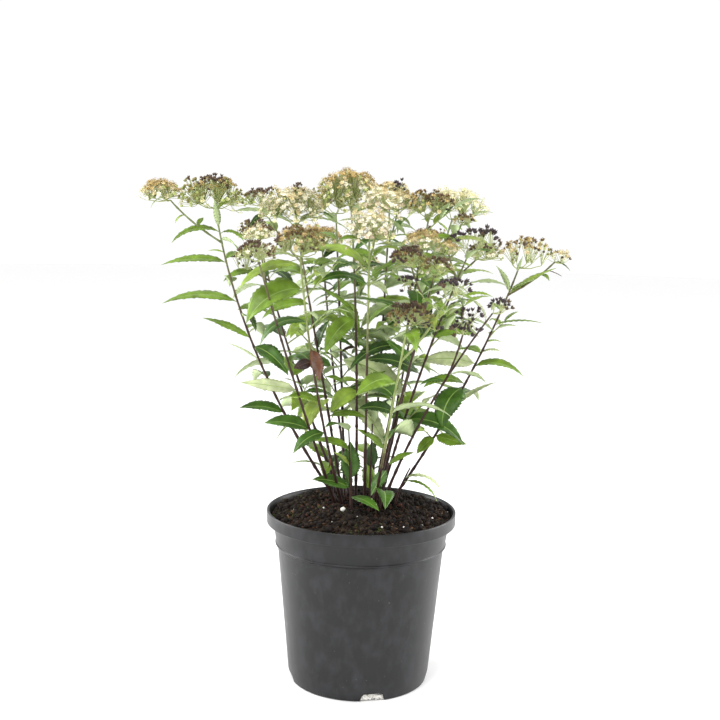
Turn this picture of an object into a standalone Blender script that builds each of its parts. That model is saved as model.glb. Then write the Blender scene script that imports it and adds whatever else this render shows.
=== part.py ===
"""Potted Japanese spirea, 0.52 m tall, in a round nursery pot with a 190 mm rim.

Units are metres and +Z is up. The origin is the middle of the pot's flat
underside, and the front of the plant faces -Y. Bare canes rise from the soil
and fan out. Each one ends just below its own mass of foliage: a leafy stem
that carries on in the cane's line, its side twigs, its leaves and its flat
flower heads, fused into one solid. Short leafy shoots stand round the clump.
"""
import math
import random

import bmesh
import bpy
import numpy as np
from mathutils import Matrix, Vector
from mathutils.bvhtree import BVHTree

GAP = 0.0003  # air left between two pieces that touch
MERGE = 0.0000003  # corners of a fused mass closer than this become one
SEED = 7

# Pot: half profiles as (radius, height), worked out from these sizes
POT_HEIGHT = 0.175
POT_SIDES = 36
WALL = 0.0014
BASE_RADIUS = 0.0695
BASE_THICKNESS = 0.011
BASE_FILLET = 0.002
FOOT_CHAMFER = 0.002
BODY_LOW_RADIUS = 0.0716
BODY_LOW_HEIGHT = 0.010
BODY_TOP_RADIUS = 0.0836
BODY_TOP_HEIGHT = 0.1390
COLLAR_LOW_RADIUS = 0.0853
COLLAR_LOW_HEIGHT = 0.1402
COLLAR_TOP_RADIUS = 0.0884
INNER_RISE = 0.0006  # how much higher the collar's step is inside
LIP_RADIUS = 0.095
LIP_HEIGHT = 0.0125
LIP_WALL = 0.0020
LIP_ROUND = 0.0008
NOTCH_TURNS = (-78, 12, 102, 192)  # degrees from the +X side of each foot notch
NOTCH_WIDTH = 0.027
NOTCH_TAPER = 0.004  # how much each side of a notch leans in
NOTCH_HEIGHT = 0.0085
NOTCH_DEPTH = 0.014
CUT_MARGIN = 0.010  # how far a cutter stands out of what it cuts

# Soil: flat round the clump, then rough and falling to the pot's wall
SOIL_LEVEL = 0.180
SOIL_FLAT_RADIUS = 0.050
SOIL_EDGE_RADIUS = 0.0895
SOIL_EDGE_LEVEL = 0.1705
SOIL_RINGS = 3
SOIL_ROUGHNESS = 0.0016
SOIL_CLEARANCE = 0.0006

# Canes
CANE_FOOT_RADIUS = 0.0016
CANE_SIDES = 6
CANE_STEPS = 3
BARE_SHARE = 0.24  # the part of a cane's path that has no leaves
STEM_LOW_RADIUS = 0.0013
STEM_TIP_RADIUS = 0.0010
STEM_STEPS = 6
TWIG_RADIUS = 0.0011
TWIG_STEPS = 3
FORK_REACH = 1.15  # a side twig forks this many head distances down the stem
FORK_RANGE = (0.040, 0.085)
TWIG_ARCH = (0.62, 0.42)  # how far out and up a twig's middle pulls it
TWIG_PHASE = 70  # turn of a twig's lowest leaf, counted from its stem's, in degrees

# Each cane by name: its foot (x, y), how far its middle bows outwards, the turn
# of its lowest leaf in degrees, and its flower heads as (x, y, z, radius). The
# first head ends the cane, and each other one ends a side twig.
CANES = {
    "left_tall": ((-0.024, 0.006), 0.022, 200, (
        (-0.151, 0.000, 0.492, 0.028), (-0.200, -0.005, 0.490, 0.019))),
    "left_front": ((-0.026, -0.004), 0.004, 250, (
        (-0.099, -0.115, 0.440, 0.016), (-0.101, -0.062, 0.453, 0.012))),
    "left_inner": ((-0.019, -0.009), 0.012, 300, (
        (-0.062, -0.088, 0.449, 0.023),)),
    "left_middle": ((-0.018, 0.001), 0.000, 120, (
        (-0.075, 0.020, 0.482, 0.029), (-0.112, 0.062, 0.484, 0.016))),
    "centre_left": ((-0.017, 0.012), -0.004, 170, (
        (-0.034, 0.100, 0.486, 0.026),)),
    "centre_tall": ((-0.006, 0.006), -0.006, 220, (
        (-0.018, 0.022, 0.499, 0.029),)),
    "centre_front": ((0.003, -0.012), 0.002, 280, (
        (0.002, -0.072, 0.465, 0.021), (0.012, -0.052, 0.486, 0.018))),
    "centre_back": ((0.010, 0.016), 0.006, 80, (
        (0.024, 0.104, 0.492, 0.018), (0.033, 0.052, 0.485, 0.017))),
    "right_centre": ((0.012, 0.006), 0.000, 20, (
        (0.064, 0.028, 0.483, 0.021), (0.051, -0.052, 0.449, 0.016))),
    "right_front": ((0.011, -0.008), 0.000, 310, (
        (0.064, -0.084, 0.428, 0.014), (0.037, -0.104, 0.437, 0.015))),
    "right_inner": ((0.018, 0.000), -0.006, 345, (
        (0.104, -0.020, 0.449, 0.022), (0.076, -0.043, 0.441, 0.010))),
    "right_back": ((0.018, 0.018), -0.006, 60, (
        (0.095, 0.098, 0.483, 0.027), (0.098, 0.048, 0.466, 0.010))),
    "right_tall": ((0.029, 0.005), 0.011, 10, (
        (0.155, 0.000, 0.438, 0.026), (0.192, 0.020, 0.431, 0.011))),
    "right_low": ((0.020, -0.012), -0.010, 330, (
        (0.127, -0.036, 0.387, 0.012), (0.092, -0.102, 0.385, 0.013))),
    "front_low": ((0.012, -0.027), 0.000, 270, (
        (0.038, -0.140, 0.389, 0.018), (0.076, -0.126, 0.411, 0.016))),
    "back_left": ((-0.021, 0.022), 0.010, 140, (
        (-0.118, 0.122, 0.448, 0.020), (-0.128, 0.082, 0.416, 0.015))),
    "back_middle": ((-0.013, 0.030), 0.010, 100, (
        (-0.050, 0.162, 0.440, 0.023), (0.000, 0.176, 0.413, 0.016))),
    "back_right": ((0.018, 0.030), 0.000, 40, (
        (0.070, 0.158, 0.442, 0.021), (0.128, 0.128, 0.430, 0.018))),
}

# Short leafy shoots by name: foot (x, y), turn in degrees, lean, height
SHOOTS = {
    "front_middle": ((-0.010, -0.030), 262, 0.008, 0.050),
    "front_right": ((0.018, -0.025), 310, 0.012, 0.050),
    "middle": ((-0.011, -0.0175), 240, 0.006, 0.080),
    "centre": ((0.008, -0.0165), 285, 0.004, 0.086),
    "right": ((0.034, -0.008), 345, 0.014, 0.040),
    "back_left": ((-0.028, 0.036), 130, 0.012, 0.034),
    "back": ((0.003, 0.041), 95, 0.014, 0.040),
}
SHOOT_RADIUS = 0.0013
SHOOT_STEPS = 3
SHOOT_CURVE = 1.5
SHOOT_LEAVES = 6
SHOOT_TOP_LEAF = 0.98
SHOOT_LEAVES_REACH = 0.72  # the part of a shoot that its leaves share, from its tip
SHOOT_LEAF_SIZE = 0.70
SHOOT_LEAF_RANGE = (0.80, 1.05)
SHOOT_RISE = (15.0, 50.0)  # degrees, as are the next two
SHOOT_BEND = (45.0, 75.0)
SHOOT_ROLL = (-20.0, 20.0)

# Leaves
LEAF_LENGTH = 0.074
LEAF_WIDTH = 0.0210
LEAF_THICKNESS = 0.0013
LEAF_SECTIONS = ((0.30, 0.96), (0.66, 0.80))  # share of its length, of its width
STALK_WIDTH = 0.0016
FIRST_LEAF = 0.012
LEAF_SPACING = 0.0180
LEAF_END = 0.016  # no leaf this close under a head
SPIRAL = math.radians(137.5)
LEAF_CLEARANCE = 0.0006
TWIG_LEAF_SIZE = 0.62
LEAF_RANGE = (0.85, 1.08)  # share of its stem's leaf size
LEAF_SHRINK = (0.55, 0.45)  # where leaves start to shrink, and by how much at the tip
LEAF_RISE = (12.0, 36.0)  # degrees, as are the next three
LEAF_LIFT = 18.0  # how much steeper the top leaves stand
LEAF_BEND = (50.0, 95.0)
LEAF_ROLL = (-34.0, 34.0)
LEAF_SWAY = 0.35  # radians either way from the spiral

# Leaves that stand out in view, by stem: the share of the stem's path at the
# root, the turn and the rise in degrees, the length in metres, then the bend and
# the roll in degrees. No leaf of the rule grows this close to their roots.
SEEN_ROOM = 0.013
# Nor does one that would stand before them, seen from the front
VIEW_PLACE = np.array((0.0, -1.2, 0.50))
SEEN_CLEAR = 0.0065  # across the view, as a share of the distance
LINE_STEPS = 6
HIDING_STEPS = 3
SEEN_LEAVES = {
    "left_tall": (
        (0.880, 262, 66, 0.031, 15, 10), (0.865, 192, 24, 0.052, 76, -22),
        (0.860, 345, 28, 0.029, 88, 16), (0.840, 318, 10, 0.040, 88, -34),
        (0.800, 185, 30, 0.016, 50, -20), (0.780, 60, 30, 0.045, 70, 10),
        (0.770, 174, 12, 0.067, 32, -24), (0.705, 100, 25, 0.052, 70, 15),
        (0.645, 188, 24, 0.077, 52, -24), (0.600, 300, 20, 0.038, 80, -12),
        (0.560, 75, 20, 0.055, 75, -10), (0.530, 170, 34, 0.054, 28, -22),
        (0.505, 325, -6, 0.052, 48, 26), (0.460, 182, 38, 0.036, 20, 24),
        (0.400, 110, 22, 0.060, 70, 12), (0.290, 190, 27, 0.047, 40, -24)),
    "left_tall_twig": (
        (0.880, 200, 0, 0.021, 70, 20), (0.560, 215, -10, 0.014, 60, -10),
        (0.350, 75, 45, 0.018, 40, 10)),
    "right_tall": (
        (0.915, 300, 68, 0.019, 10, 0), (0.850, 338, 35, 0.028, 22, 12),
        (0.840, 205, 78, 0.032, 40, 22), (0.835, 5, 36, 0.054, 14, 14),
        (0.765, 95, 30, 0.045, 70, 10), (0.715, 350, 18, 0.047, 28, 10),
        (0.645, 10, 30, 0.016, 60, 15), (0.600, 120, 25, 0.052, 70, -10),
        (0.550, 354, 26, 0.054, 74, 24), (0.560, 190, 20, 0.058, 36, -46),
        (0.480, 192, 34, 0.047, 76, -24), (0.465, 225, -4, 0.055, 98, -12),
        (0.430, 60, 22, 0.058, 70, 12), (0.375, 350, 50, 0.056, 32, 14),
        (0.605, 340, 36, 0.021, 60, 14), (0.270, 205, -34, 0.026, 10, -30),
        (0.275, 335, -8, 0.034, 4, 30)),
    "right_tall_twig": (
        (0.900, 350, -12, 0.018, 40, 10), (0.550, 290, 20, 0.022, 60, 10)),
    "right_low": (
        (0.860, 195, 14, 0.047, 36, -24), (0.630, 190, 22, 0.026, 60, -24),
        (0.920, 150, 80, 0.030, 60, 10)),
    "left_front": (
        (0.480, 185, 12, 0.054, 8, -40), (0.320, 186, 28, 0.046, 40, -28)),
    "left_inner": (
        (0.910, 200, 15, 0.066, 70, -24), (0.830, 200, 4, 0.066, 68, -38),
        (0.710, 200, 25, 0.056, 100, -20), (0.420, 195, 36, 0.032, 50, -30),
        (0.300, 216, 5, 0.042, 60, -32)),
    "left_middle": (
        (0.910, 168, 37, 0.070, 50, 22), (0.660, 200, 14, 0.053, 60, -30),
        (0.510, 20, 84, 0.032, 32, 10), (0.290, 348, 25, 0.042, 50, 26)),
    "centre_left": (
        (0.455, 332, -2, 0.084, 40, 40), (0.370, 325, -34, 0.084, 20, 34)),
    "centre_tall": (
        (0.600, 182, 48, 0.049, 30, -18), (0.585, 222, -10, 0.054, 60, -36),
        (0.360, 215, -14, 0.038, 40, -34)),
    "centre_front": (
        (0.840, 180, 60, 0.074, 100, -24), (0.815, 352, 45, 0.040, 30, 20),
        (0.790, 200, 42, 0.060, 85, -26)),
    "right_front": (
        (0.400, 200, 35, 0.042, 50, -36), (0.240, 194, 52, 0.040, 30, -30),
        (0.615, 150, 46, 0.034, 20, -14)),
    "right_inner": (
        (0.325, 345, 16, 0.068, 70, 30), (0.500, 200, 40, 0.062, 50, -34)),
    "shoot_middle": (
        (0.360, 92, 80, 0.038, 10, 0), (0.240, 140, 76, 0.023, 10, -10),
        (0.255, 185, 30, 0.040, 35, -34), (0.535, 190, 54, 0.022, 25, -24)),
    "shoot_centre": (
        (0.475, 80, 78, 0.027, 10, 0), (0.215, 110, 74, 0.030, 10, 0)),
    "shoot_front_middle": (
        (0.300, 312, 8, 0.042, 32, 4),),
    "shoot_front_right": (
        (0.860, 205, -48, 0.030, 15, -36), (0.965, 345, 44, 0.030, 30, 30)),
    "shoot_right": (
        (0.745, 356, 30, 0.050, 112, 14), (0.640, 340, 20, 0.044, 90, 12)),
}

# Flower heads: flattened domes on rays that spread from the stem's tip
HEAD_FLATNESS = 0.42
HEAD_LUMPS = 0.12
HEAD_SIDES = 8
HEAD_RINGS = ((0.60, 0.78), (1.0, 0.0))  # share of its radius, of its half height
HEAD_UNDERSIDE = 0.55
HEAD_RAYS = 3
RAY_DROP = 0.75  # how far below the head the rays start, in head radii
RAY_SPREAD = 0.62
RAY_WIDTH = 0.0010

# Colours as (red, green, blue), roughness
PLASTIC = ((0.035, 0.036, 0.038), 0.45)
PEAT = ((0.040, 0.026, 0.018), 0.95)
BARK = ((0.075, 0.035, 0.022), 0.70)
LEAVES = ((0.105, 0.255, 0.035), 0.50)


def material(name, finish):
    """A plain material from a colour and a roughness."""
    colour, roughness = finish
    made = bpy.data.materials.new(name)
    made.use_nodes = True
    shader = made.node_tree.nodes["Principled BSDF"]
    shader.inputs["Base Color"].default_value = (*colour, 1.0)
    shader.inputs["Roughness"].default_value = roughness
    shader.inputs["Metallic"].default_value = 0.0
    return made


def mesh_object(name, corners, faces, finish=None, collection=None):
    """An object from corners and faces, with its faces turned outwards."""
    mesh = bpy.data.meshes.new(name)
    mesh.from_pydata([tuple(corner) for corner in corners], [], faces)
    shape = bmesh.new()
    shape.from_mesh(mesh)
    bmesh.ops.recalc_face_normals(shape, faces=shape.faces)
    shape.to_mesh(mesh)
    shape.free()
    if finish is not None:
        mesh.materials.append(finish)
    made = bpy.data.objects.new(name, mesh)
    (collection or bpy.context.scene.collection).objects.link(made)
    return made


def apply_modifier(target, modifier):
    """Apply one modifier to its object."""
    with bpy.context.temp_override(object=target, active_object=target):
        bpy.ops.object.modifier_apply(modifier=modifier.name)


def turned(profile, sides):
    """Corners and faces of a half profile turned about the Z axis."""
    corners, rings, faces = [], [], []
    for radius, height in profile:
        if radius == 0.0:
            rings.append([len(corners)] * sides)
            corners.append((0.0, 0.0, height))
            continue
        rings.append([len(corners) + side for side in range(sides)])
        for side in range(sides):
            turn = 2.0 * math.pi * side / sides
            corners.append((radius * math.cos(turn), radius * math.sin(turn), height))
    for low, high in zip(rings, rings[1:]):
        for side in range(sides):
            after = (side + 1) % sides
            ring = (low[side], low[after], high[after], high[side])
            face = tuple(dict.fromkeys(ring))
            faces.append(face)
    return corners, faces


def pot_profile():
    """The pot's outer side from the base to the lip, then its inner side."""
    lip_low = POT_HEIGHT - LIP_HEIGHT
    return [
        (0.0, 0.0),
        (BASE_RADIUS - FOOT_CHAMFER, 0.0),
        (BASE_RADIUS, FOOT_CHAMFER),
        (BODY_LOW_RADIUS, BODY_LOW_HEIGHT),
        (BODY_TOP_RADIUS, BODY_TOP_HEIGHT),
        (COLLAR_LOW_RADIUS, COLLAR_LOW_HEIGHT),
        (COLLAR_TOP_RADIUS, lip_low - LIP_ROUND),
        (LIP_RADIUS - LIP_ROUND, lip_low),
        (LIP_RADIUS, lip_low + LIP_ROUND),
        (LIP_RADIUS, POT_HEIGHT - LIP_ROUND),
        (LIP_RADIUS - LIP_ROUND, POT_HEIGHT),
        (LIP_RADIUS - LIP_WALL, POT_HEIGHT),
        (LIP_RADIUS - LIP_WALL - LIP_ROUND, POT_HEIGHT - 2.0 * LIP_ROUND),
        (COLLAR_TOP_RADIUS - WALL, lip_low),
        (COLLAR_LOW_RADIUS - WALL, COLLAR_LOW_HEIGHT + INNER_RISE),
        (BODY_TOP_RADIUS - WALL, BODY_TOP_HEIGHT),
        (BODY_LOW_RADIUS - WALL, BASE_THICKNESS + BASE_FILLET),
        (BODY_LOW_RADIUS - WALL - BASE_FILLET / 2.0, BASE_THICKNESS),
        (0.0, BASE_THICKNESS),
    ]


def make_pot(finish):
    """The pot: a turned shell with drainage notches cut in its foot."""
    corners, faces = turned(pot_profile(), POT_SIDES)
    pot = mesh_object("pot", corners, faces, finish)
    notches = bpy.data.collections.new("notches")
    bpy.context.scene.collection.children.link(notches)
    for number, turn in enumerate(NOTCH_TURNS):
        # A wedge that narrows upwards, from outside the wall to its depth
        outer = BASE_RADIUS + CUT_MARGIN
        inner = BASE_RADIUS - NOTCH_DEPTH
        half, top_half = NOTCH_WIDTH / 2.0, NOTCH_WIDTH / 2.0 - NOTCH_TAPER
        section = ((-half, -CUT_MARGIN), (half, -CUT_MARGIN),
                   (top_half, NOTCH_HEIGHT), (-top_half, NOTCH_HEIGHT))
        ends = [(reach, side, rise) for reach in (inner, outer) for side, rise in section]
        wedge = [(0, 1, 2, 3), (4, 5, 6, 7)]
        wedge += [(k, (k + 1) % 4, 4 + (k + 1) % 4, 4 + k) for k in range(4)]
        spin = Matrix.Rotation(math.radians(turn), 4, "Z")
        mesh_object(f"notch_{number}", [spin @ Vector(end) for end in ends], wedge, None, notches)
    cut = pot.modifiers.new("notches", "BOOLEAN")
    cut.operation = "DIFFERENCE"
    cut.operand_type = "COLLECTION"
    cut.collection = notches
    apply_modifier(pot, cut)
    empty_collection(notches)
    pot.data.shade_smooth()
    pot.data.set_sharp_from_angle(angle=math.radians(30))
    return pot


def make_soil(finish):
    """The root ball: it fills the pot and is rough round the clump."""
    chance = random.Random(SEED)
    inner_low = BODY_LOW_RADIUS - WALL - SOIL_CLEARANCE
    profile = [
        (0.0, BASE_THICKNESS + GAP),
        (inner_low - BASE_FILLET, BASE_THICKNESS + GAP),
        (inner_low, BASE_THICKNESS + 2.0 * BASE_FILLET),
        (BODY_TOP_RADIUS - WALL - SOIL_CLEARANCE, BODY_TOP_HEIGHT),
        (COLLAR_LOW_RADIUS - WALL - 2.0 * SOIL_CLEARANCE, COLLAR_LOW_HEIGHT + 3.0 * INNER_RISE),
        (COLLAR_TOP_RADIUS - WALL - SOIL_CLEARANCE, POT_HEIGHT - LIP_HEIGHT),
        (SOIL_EDGE_RADIUS, SOIL_EDGE_LEVEL),
    ]
    first_top = len(profile)
    for ring in range(1, SOIL_RINGS):
        share = ring / SOIL_RINGS
        radius = SOIL_EDGE_RADIUS + (SOIL_FLAT_RADIUS - SOIL_EDGE_RADIUS) * share
        rise = math.sin(share * math.pi / 2.0)
        profile.append((radius, SOIL_EDGE_LEVEL + (SOIL_LEVEL - SOIL_EDGE_LEVEL) * rise))
    profile += [(SOIL_FLAT_RADIUS, SOIL_LEVEL), (0.0, SOIL_LEVEL)]
    corners, faces = turned(profile, POT_SIDES)
    start = 1 + (first_top - 1) * POT_SIDES
    rough = range(start, start + (SOIL_RINGS - 1) * POT_SIDES)
    for index in rough:
        x, y, z = corners[index]
        corners[index] = (x, y, z + chance.uniform(-1.0, 1.0) * SOIL_ROUGHNESS)
    return mesh_object("soil", corners, faces, finish)


def empty_collection(collection):
    """Remove a helper collection and what is in it."""
    for item in list(collection.objects):
        bpy.data.objects.remove(item, do_unlink=True)
    bpy.data.collections.remove(collection)


def limb(points, radii, sides, level_foot=False):
    """Corners and faces of a tapering limb along a path.

    A level foot is cut flat, as a cane's is at the soil.
    """
    points = [np.array(point, float) for point in points]
    across = np.array((1.0, 0.0, 0.0))
    corners, faces = [], []
    for index, (point, radius) in enumerate(zip(points, radii)):
        before, after = points[max(index - 1, 0)], points[min(index + 1, len(points) - 1)]
        along = (after - before) / np.linalg.norm(after - before)
        if index == 0 and level_foot:
            along = np.array((0.0, 0.0, 1.0))
        across = across - along * np.dot(across, along)
        across /= np.linalg.norm(across)
        beside = np.cross(along, across)
        for side in range(sides):
            turn = 2.0 * math.pi * side / sides
            corners.append(point + radius * (math.cos(turn) * across + math.sin(turn) * beside))
    for index in range(len(points) - 1):
        for side in range(sides):
            low, high = index * sides, (index + 1) * sides
            after = (side + 1) % sides
            faces.append((low + side, low + after, high + after))
            faces.append((low + side, high + after, high + side))
    faces.append(tuple(reversed(range(sides))))
    faces.append(tuple(range(len(corners) - sides, len(corners))))
    return corners, faces


def cane_point(foot, bow, head, share):
    """The point that lies the given share of the way up a cane's path."""
    foot = np.array((*foot, SOIL_LEVEL + GAP))
    tip = np.array(head[:3])
    outwards = np.array((tip[0] - foot[0], tip[1] - foot[1], 0.0))
    outwards /= max(np.linalg.norm(outwards), 1e-6)
    return foot + (tip - foot) * share + outwards * bow * 4.0 * share * (1.0 - share)


def cane_path(foot, bow, head):
    """A cane's path as a function of the share of its length."""
    return lambda share: cane_point(foot, bow, head, share)


def twig_point(fork, head, share):
    """The point that lies the given share of the way along a side twig."""
    tip = np.array(head[:3])
    middle = fork + (tip - fork) * np.array((TWIG_ARCH[0], TWIG_ARCH[0], TWIG_ARCH[1]))
    return (1 - share) ** 2 * fork + 2 * share * (1 - share) * middle + share ** 2 * tip


def walk(path, start, end, step):
    """Shares of a path from start to end that lie one step apart."""
    shares = np.linspace(start, end, 80)
    points = np.array([path(share) for share in shares])
    reach = np.concatenate(([0.0], np.cumsum(np.linalg.norm(np.diff(points, axis=0), axis=1))))
    return [float(np.interp(distance, reach, shares)) for distance in np.arange(0.0, reach[-1], step)]


def below_tip(path, distance):
    """The point of a path that lies a distance short of its tip."""
    return path(1.0 - distance / np.linalg.norm(path(1.0) - path(0.0)))


def twig_path(path, main_head, head):
    """The path of a side twig that leaves a cane below its tip."""
    apart = np.linalg.norm(np.array(head[:3]) - np.array(main_head[:3]))
    drop = min(max(apart * FORK_REACH, FORK_RANGE[0]), FORK_RANGE[1])
    fork = below_tip(path, drop)
    return lambda share: twig_point(fork, head, share)


def shoot_path(foot, turn, lean, height):
    """The path of a short shoot."""
    out = np.array((math.cos(math.radians(turn)), math.sin(math.radians(turn)), 0.0))
    base = np.array((*foot, SOIL_LEVEL + GAP))
    return lambda share: base + out * lean * share ** SHOOT_CURVE + np.array((0.0, 0.0, height * share))


def leaf(root, turn, rise, length, bend, roll, grow=0.0):
    """Corners and faces of one leaf that arches over from its root.

    Its sections are triangles: two edges and a keel below the midrib. Grow
    thickens it on all sides, to test that it stays clear of its neighbours.
    """
    side = np.array((-math.sin(turn), math.cos(turn), 0.0))
    place, before = np.array(root), 0.0
    width = LEAF_WIDTH * length / LEAF_LENGTH
    stations = [(0.0, STALK_WIDTH)] + [(share, width * part) for share, part in LEAF_SECTIONS]
    corners = []
    for share, across in stations + [(1.0, 0.0)]:
        # Each stretch leans by the bend at its middle
        lean = rise - bend * (before + share) / 2.0
        along = np.array((math.cos(turn) * math.cos(lean), math.sin(turn) * math.cos(lean), math.sin(lean)))
        place = place + along * (share - before) * length
        before = share
        if share == 1.0:
            corners.append(place + along * grow)
            break
        lean = rise - bend * share
        along = np.array((math.cos(turn) * math.cos(lean), math.sin(turn) * math.cos(lean), math.sin(lean)))
        normal = np.cross(along, side)
        edge = side * math.cos(roll) + normal * math.sin(roll)
        face = normal * math.cos(roll) - side * math.sin(roll)
        keel = LEAF_THICKNESS / 2.0 + grow
        corners += [place + edge * (across / 2.0 + grow) + face * keel,
                    place - edge * (across / 2.0 + grow) + face * keel,
                    place - face * keel]
    faces = [(0, 2, 1)]
    for low in range(0, 3 * len(LEAF_SECTIONS), 3):
        for one, two in ((0, 1), (1, 2), (2, 0)):
            faces += [(low + one, low + two, low + 3 + two), (low + one, low + 3 + two, low + 3 + one)]
    low, tip = 3 * len(LEAF_SECTIONS), len(corners) - 1
    faces += [(low, low + 1, tip), (low + 1, low + 2, tip), (low + 2, low, tip)]
    return corners, faces


def stem_leaves(path, start, phase, size, chance):
    """Rule for the leaves along one stem, as arguments of leaf()."""
    shares = walk(path, start, 1.0, LEAF_SPACING / 4.0)
    first, spacing, last = (int(round(4.0 * reach / LEAF_SPACING)) for reach in
                            (FIRST_LEAF, LEAF_SPACING, LEAF_END))
    placed = shares[first:max(len(shares) - last, first + 1):spacing]
    leaves = []
    for number, share in enumerate(placed):
        height = (share - start) / (1.0 - start)
        shrink = 1.0 - LEAF_SHRINK[1] * max(0.0, height - LEAF_SHRINK[0]) / (1.0 - LEAF_SHRINK[0])
        length = LEAF_LENGTH * size * shrink * chance.uniform(*LEAF_RANGE)
        turn = phase + number * SPIRAL + chance.uniform(-LEAF_SWAY, LEAF_SWAY)
        rise = math.radians(chance.uniform(*LEAF_RISE) + LEAF_LIFT * height)
        bend = math.radians(chance.uniform(*LEAF_BEND))
        roll = math.radians(chance.uniform(*LEAF_ROLL))
        leaves.append((path(share), turn, rise, length, bend, roll))
    return leaves


def seen_leaves(stem, path):
    """The leaves of one stem that stand out in view, as arguments of leaf()."""
    leaves = []
    for share, turn, rise, length, bend, roll in SEEN_LEAVES.get(stem, ()):
        turn, rise, bend, roll = (math.radians(angle) for angle in (turn, rise, bend, roll))
        leaves.append((path(share), turn, rise, length, bend, roll))
    return leaves


def every_seen():
    """The seen leaves of all canes, twigs and shoots."""
    leaves = []
    for name, (foot, bow, _, heads) in CANES.items():
        path = cane_path(foot, bow, heads[0])
        leaves += seen_leaves(name, path)
        for head in heads[1:]:
            leaves += seen_leaves(name + "_twig", twig_path(path, heads[0], head))
    for name, plan in SHOOTS.items():
        leaves += seen_leaves("shoot_" + name, shoot_path(*plan))
    return leaves


def line_in_view(plan):
    """Places along a leaf's midrib, as seen: across, up, and how far away."""
    place, turn, rise, length, bend = plan[:5]
    line = []
    for step in range(LINE_STEPS):
        lean = rise - bend * (step + 0.5) / LINE_STEPS
        along = np.array((math.cos(turn) * math.cos(lean), math.sin(turn) * math.cos(lean), math.sin(lean)))
        place = place + along * length / LINE_STEPS
        across, away, up = place - VIEW_PLACE
        line.append((across / away, up / away, away))
    return np.array(line)


def hides(plan, seen_lines):
    """True when a leaf stands before one of those that stand out in view."""
    own = line_in_view(plan)
    apart = np.linalg.norm(own[:, None, :2] - seen_lines[None, :, :2], axis=2)
    before = own[:, None, 2] < seen_lines[None, :, 2]
    return (before & (apart < SEEN_CLEAR)).sum() >= HIDING_STEPS


def spaced(leaves, seen, seen_lines):
    """The leaves of the rule that keep clear of the seen ones."""
    apart = [plan for plan in leaves
             if all(np.linalg.norm(plan[0] - other[0]) > SEEN_ROOM for other in seen)]
    return [plan for plan in apart if not hides(plan, seen_lines)]


def flower_head(head, start, chance):
    """The lumpy dome of a flower head, and the rays that carry it from the stem."""
    centre, radius = np.array(head[:3]), head[3]
    tall = radius * HEAD_FLATNESS
    corners = [centre + np.array((0.0, 0.0, tall))]
    for share, rise in HEAD_RINGS:
        for number in range(HEAD_SIDES):
            turn = 2.0 * math.pi * (number + 0.5 * (share == 1.0)) / HEAD_SIDES
            reach = radius * share * chance.uniform(1.0 - HEAD_LUMPS, 1.0 + HEAD_LUMPS / 2.0)
            lift = tall * (rise + chance.uniform(-HEAD_LUMPS, HEAD_LUMPS))
            corners.append(centre + np.array((reach * math.cos(turn), reach * math.sin(turn), lift)))
    corners.append(centre - np.array((0.0, 0.0, tall * HEAD_UNDERSIDE)))
    faces = []
    for number in range(HEAD_SIDES):
        after = (number + 1) % HEAD_SIDES
        inner, inner_after, outer, outer_after = (1 + number, 1 + after, 1 + HEAD_SIDES + number,
                                                  1 + HEAD_SIDES + after)
        faces += [(0, inner, inner_after), (inner, outer, inner_after),
                  (inner_after, outer, outer_after), (outer, len(corners) - 1, outer_after)]
    rays = []
    spin = chance.uniform(0.0, 2.0 * math.pi)
    for number in range(HEAD_RAYS):
        turn = spin + 2.0 * math.pi * number / HEAD_RAYS
        out = np.array((math.cos(turn), math.sin(turn), 0.0)) * radius * RAY_SPREAD
        rays.append(limb((start, centre + out), (RAY_WIDTH, RAY_WIDTH * 0.8), 3))
    return (corners, faces), rays


def keep_body(mesh):
    """Keep the largest body of a mesh, and drop scraps and sealed hollows.

    True when each edge that is left has one face on either side.
    """
    shape = bmesh.new()
    shape.from_mesh(mesh)
    bmesh.ops.remove_doubles(shape, verts=shape.verts, dist=MERGE)
    waiting, bodies = set(shape.faces), []
    while waiting:
        reached = [waiting.pop()]
        body = list(reached)
        while reached:
            for edge in reached.pop().edges:
                for face in edge.link_faces:
                    if face in waiting:
                        waiting.remove(face)
                        reached.append(face)
                        body.append(face)
        bodies.append(body)
    bodies.sort(key=len)
    scraps = [face for body in bodies[:-1] for face in body]
    bmesh.ops.delete(shape, geom=scraps, context="FACES")
    bmesh.ops.triangulate(shape, faces=shape.faces)
    whole = all(len(edge.link_faces) == 2 for edge in shape.edges)
    shape.to_mesh(mesh)
    shape.free()
    return whole


def union_of(name, shapes, finish, solver):
    """One object from the Boolean union of several shapes."""
    parts = bpy.data.collections.new(name + "_parts")
    bpy.context.scene.collection.children.link(parts)
    for number, (corners, faces) in enumerate(shapes[1:]):
        mesh_object(f"{name}_part_{number}", corners, faces, None, parts)
    mass = mesh_object(name, *shapes[0], finish)
    union = mass.modifiers.new("union", "BOOLEAN")
    union.operation = "UNION"
    union.operand_type = "COLLECTION"
    union.collection = parts
    union.solver = solver
    apply_modifier(mass, union)
    empty_collection(parts)
    return mass


def fuse(name, limbs, leaves, finish):
    """Fuse a mass into a single solid, without one leaf where that fails."""
    for left_out in range(len(leaves), -1, -1):
        kept = leaves[:left_out] + leaves[left_out + 1:]
        for solver in ("EXACT", "MANIFOLD"):
            mass = union_of(name, limbs + kept, finish, solver)
            if keep_body(mass.data):
                return
            bpy.data.objects.remove(mass, do_unlink=True)
    raise ValueError(f"the limbs of {name} don't fuse")


def tree_of(shape):
    """The search tree of a shape, with the corners of its box."""
    corners = np.array([tuple(corner) for corner in shape[0]])
    tree = BVHTree.FromPolygons([Vector(corner) for corner in corners], shape[1])
    return corners.min(axis=0), corners.max(axis=0), tree


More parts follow.
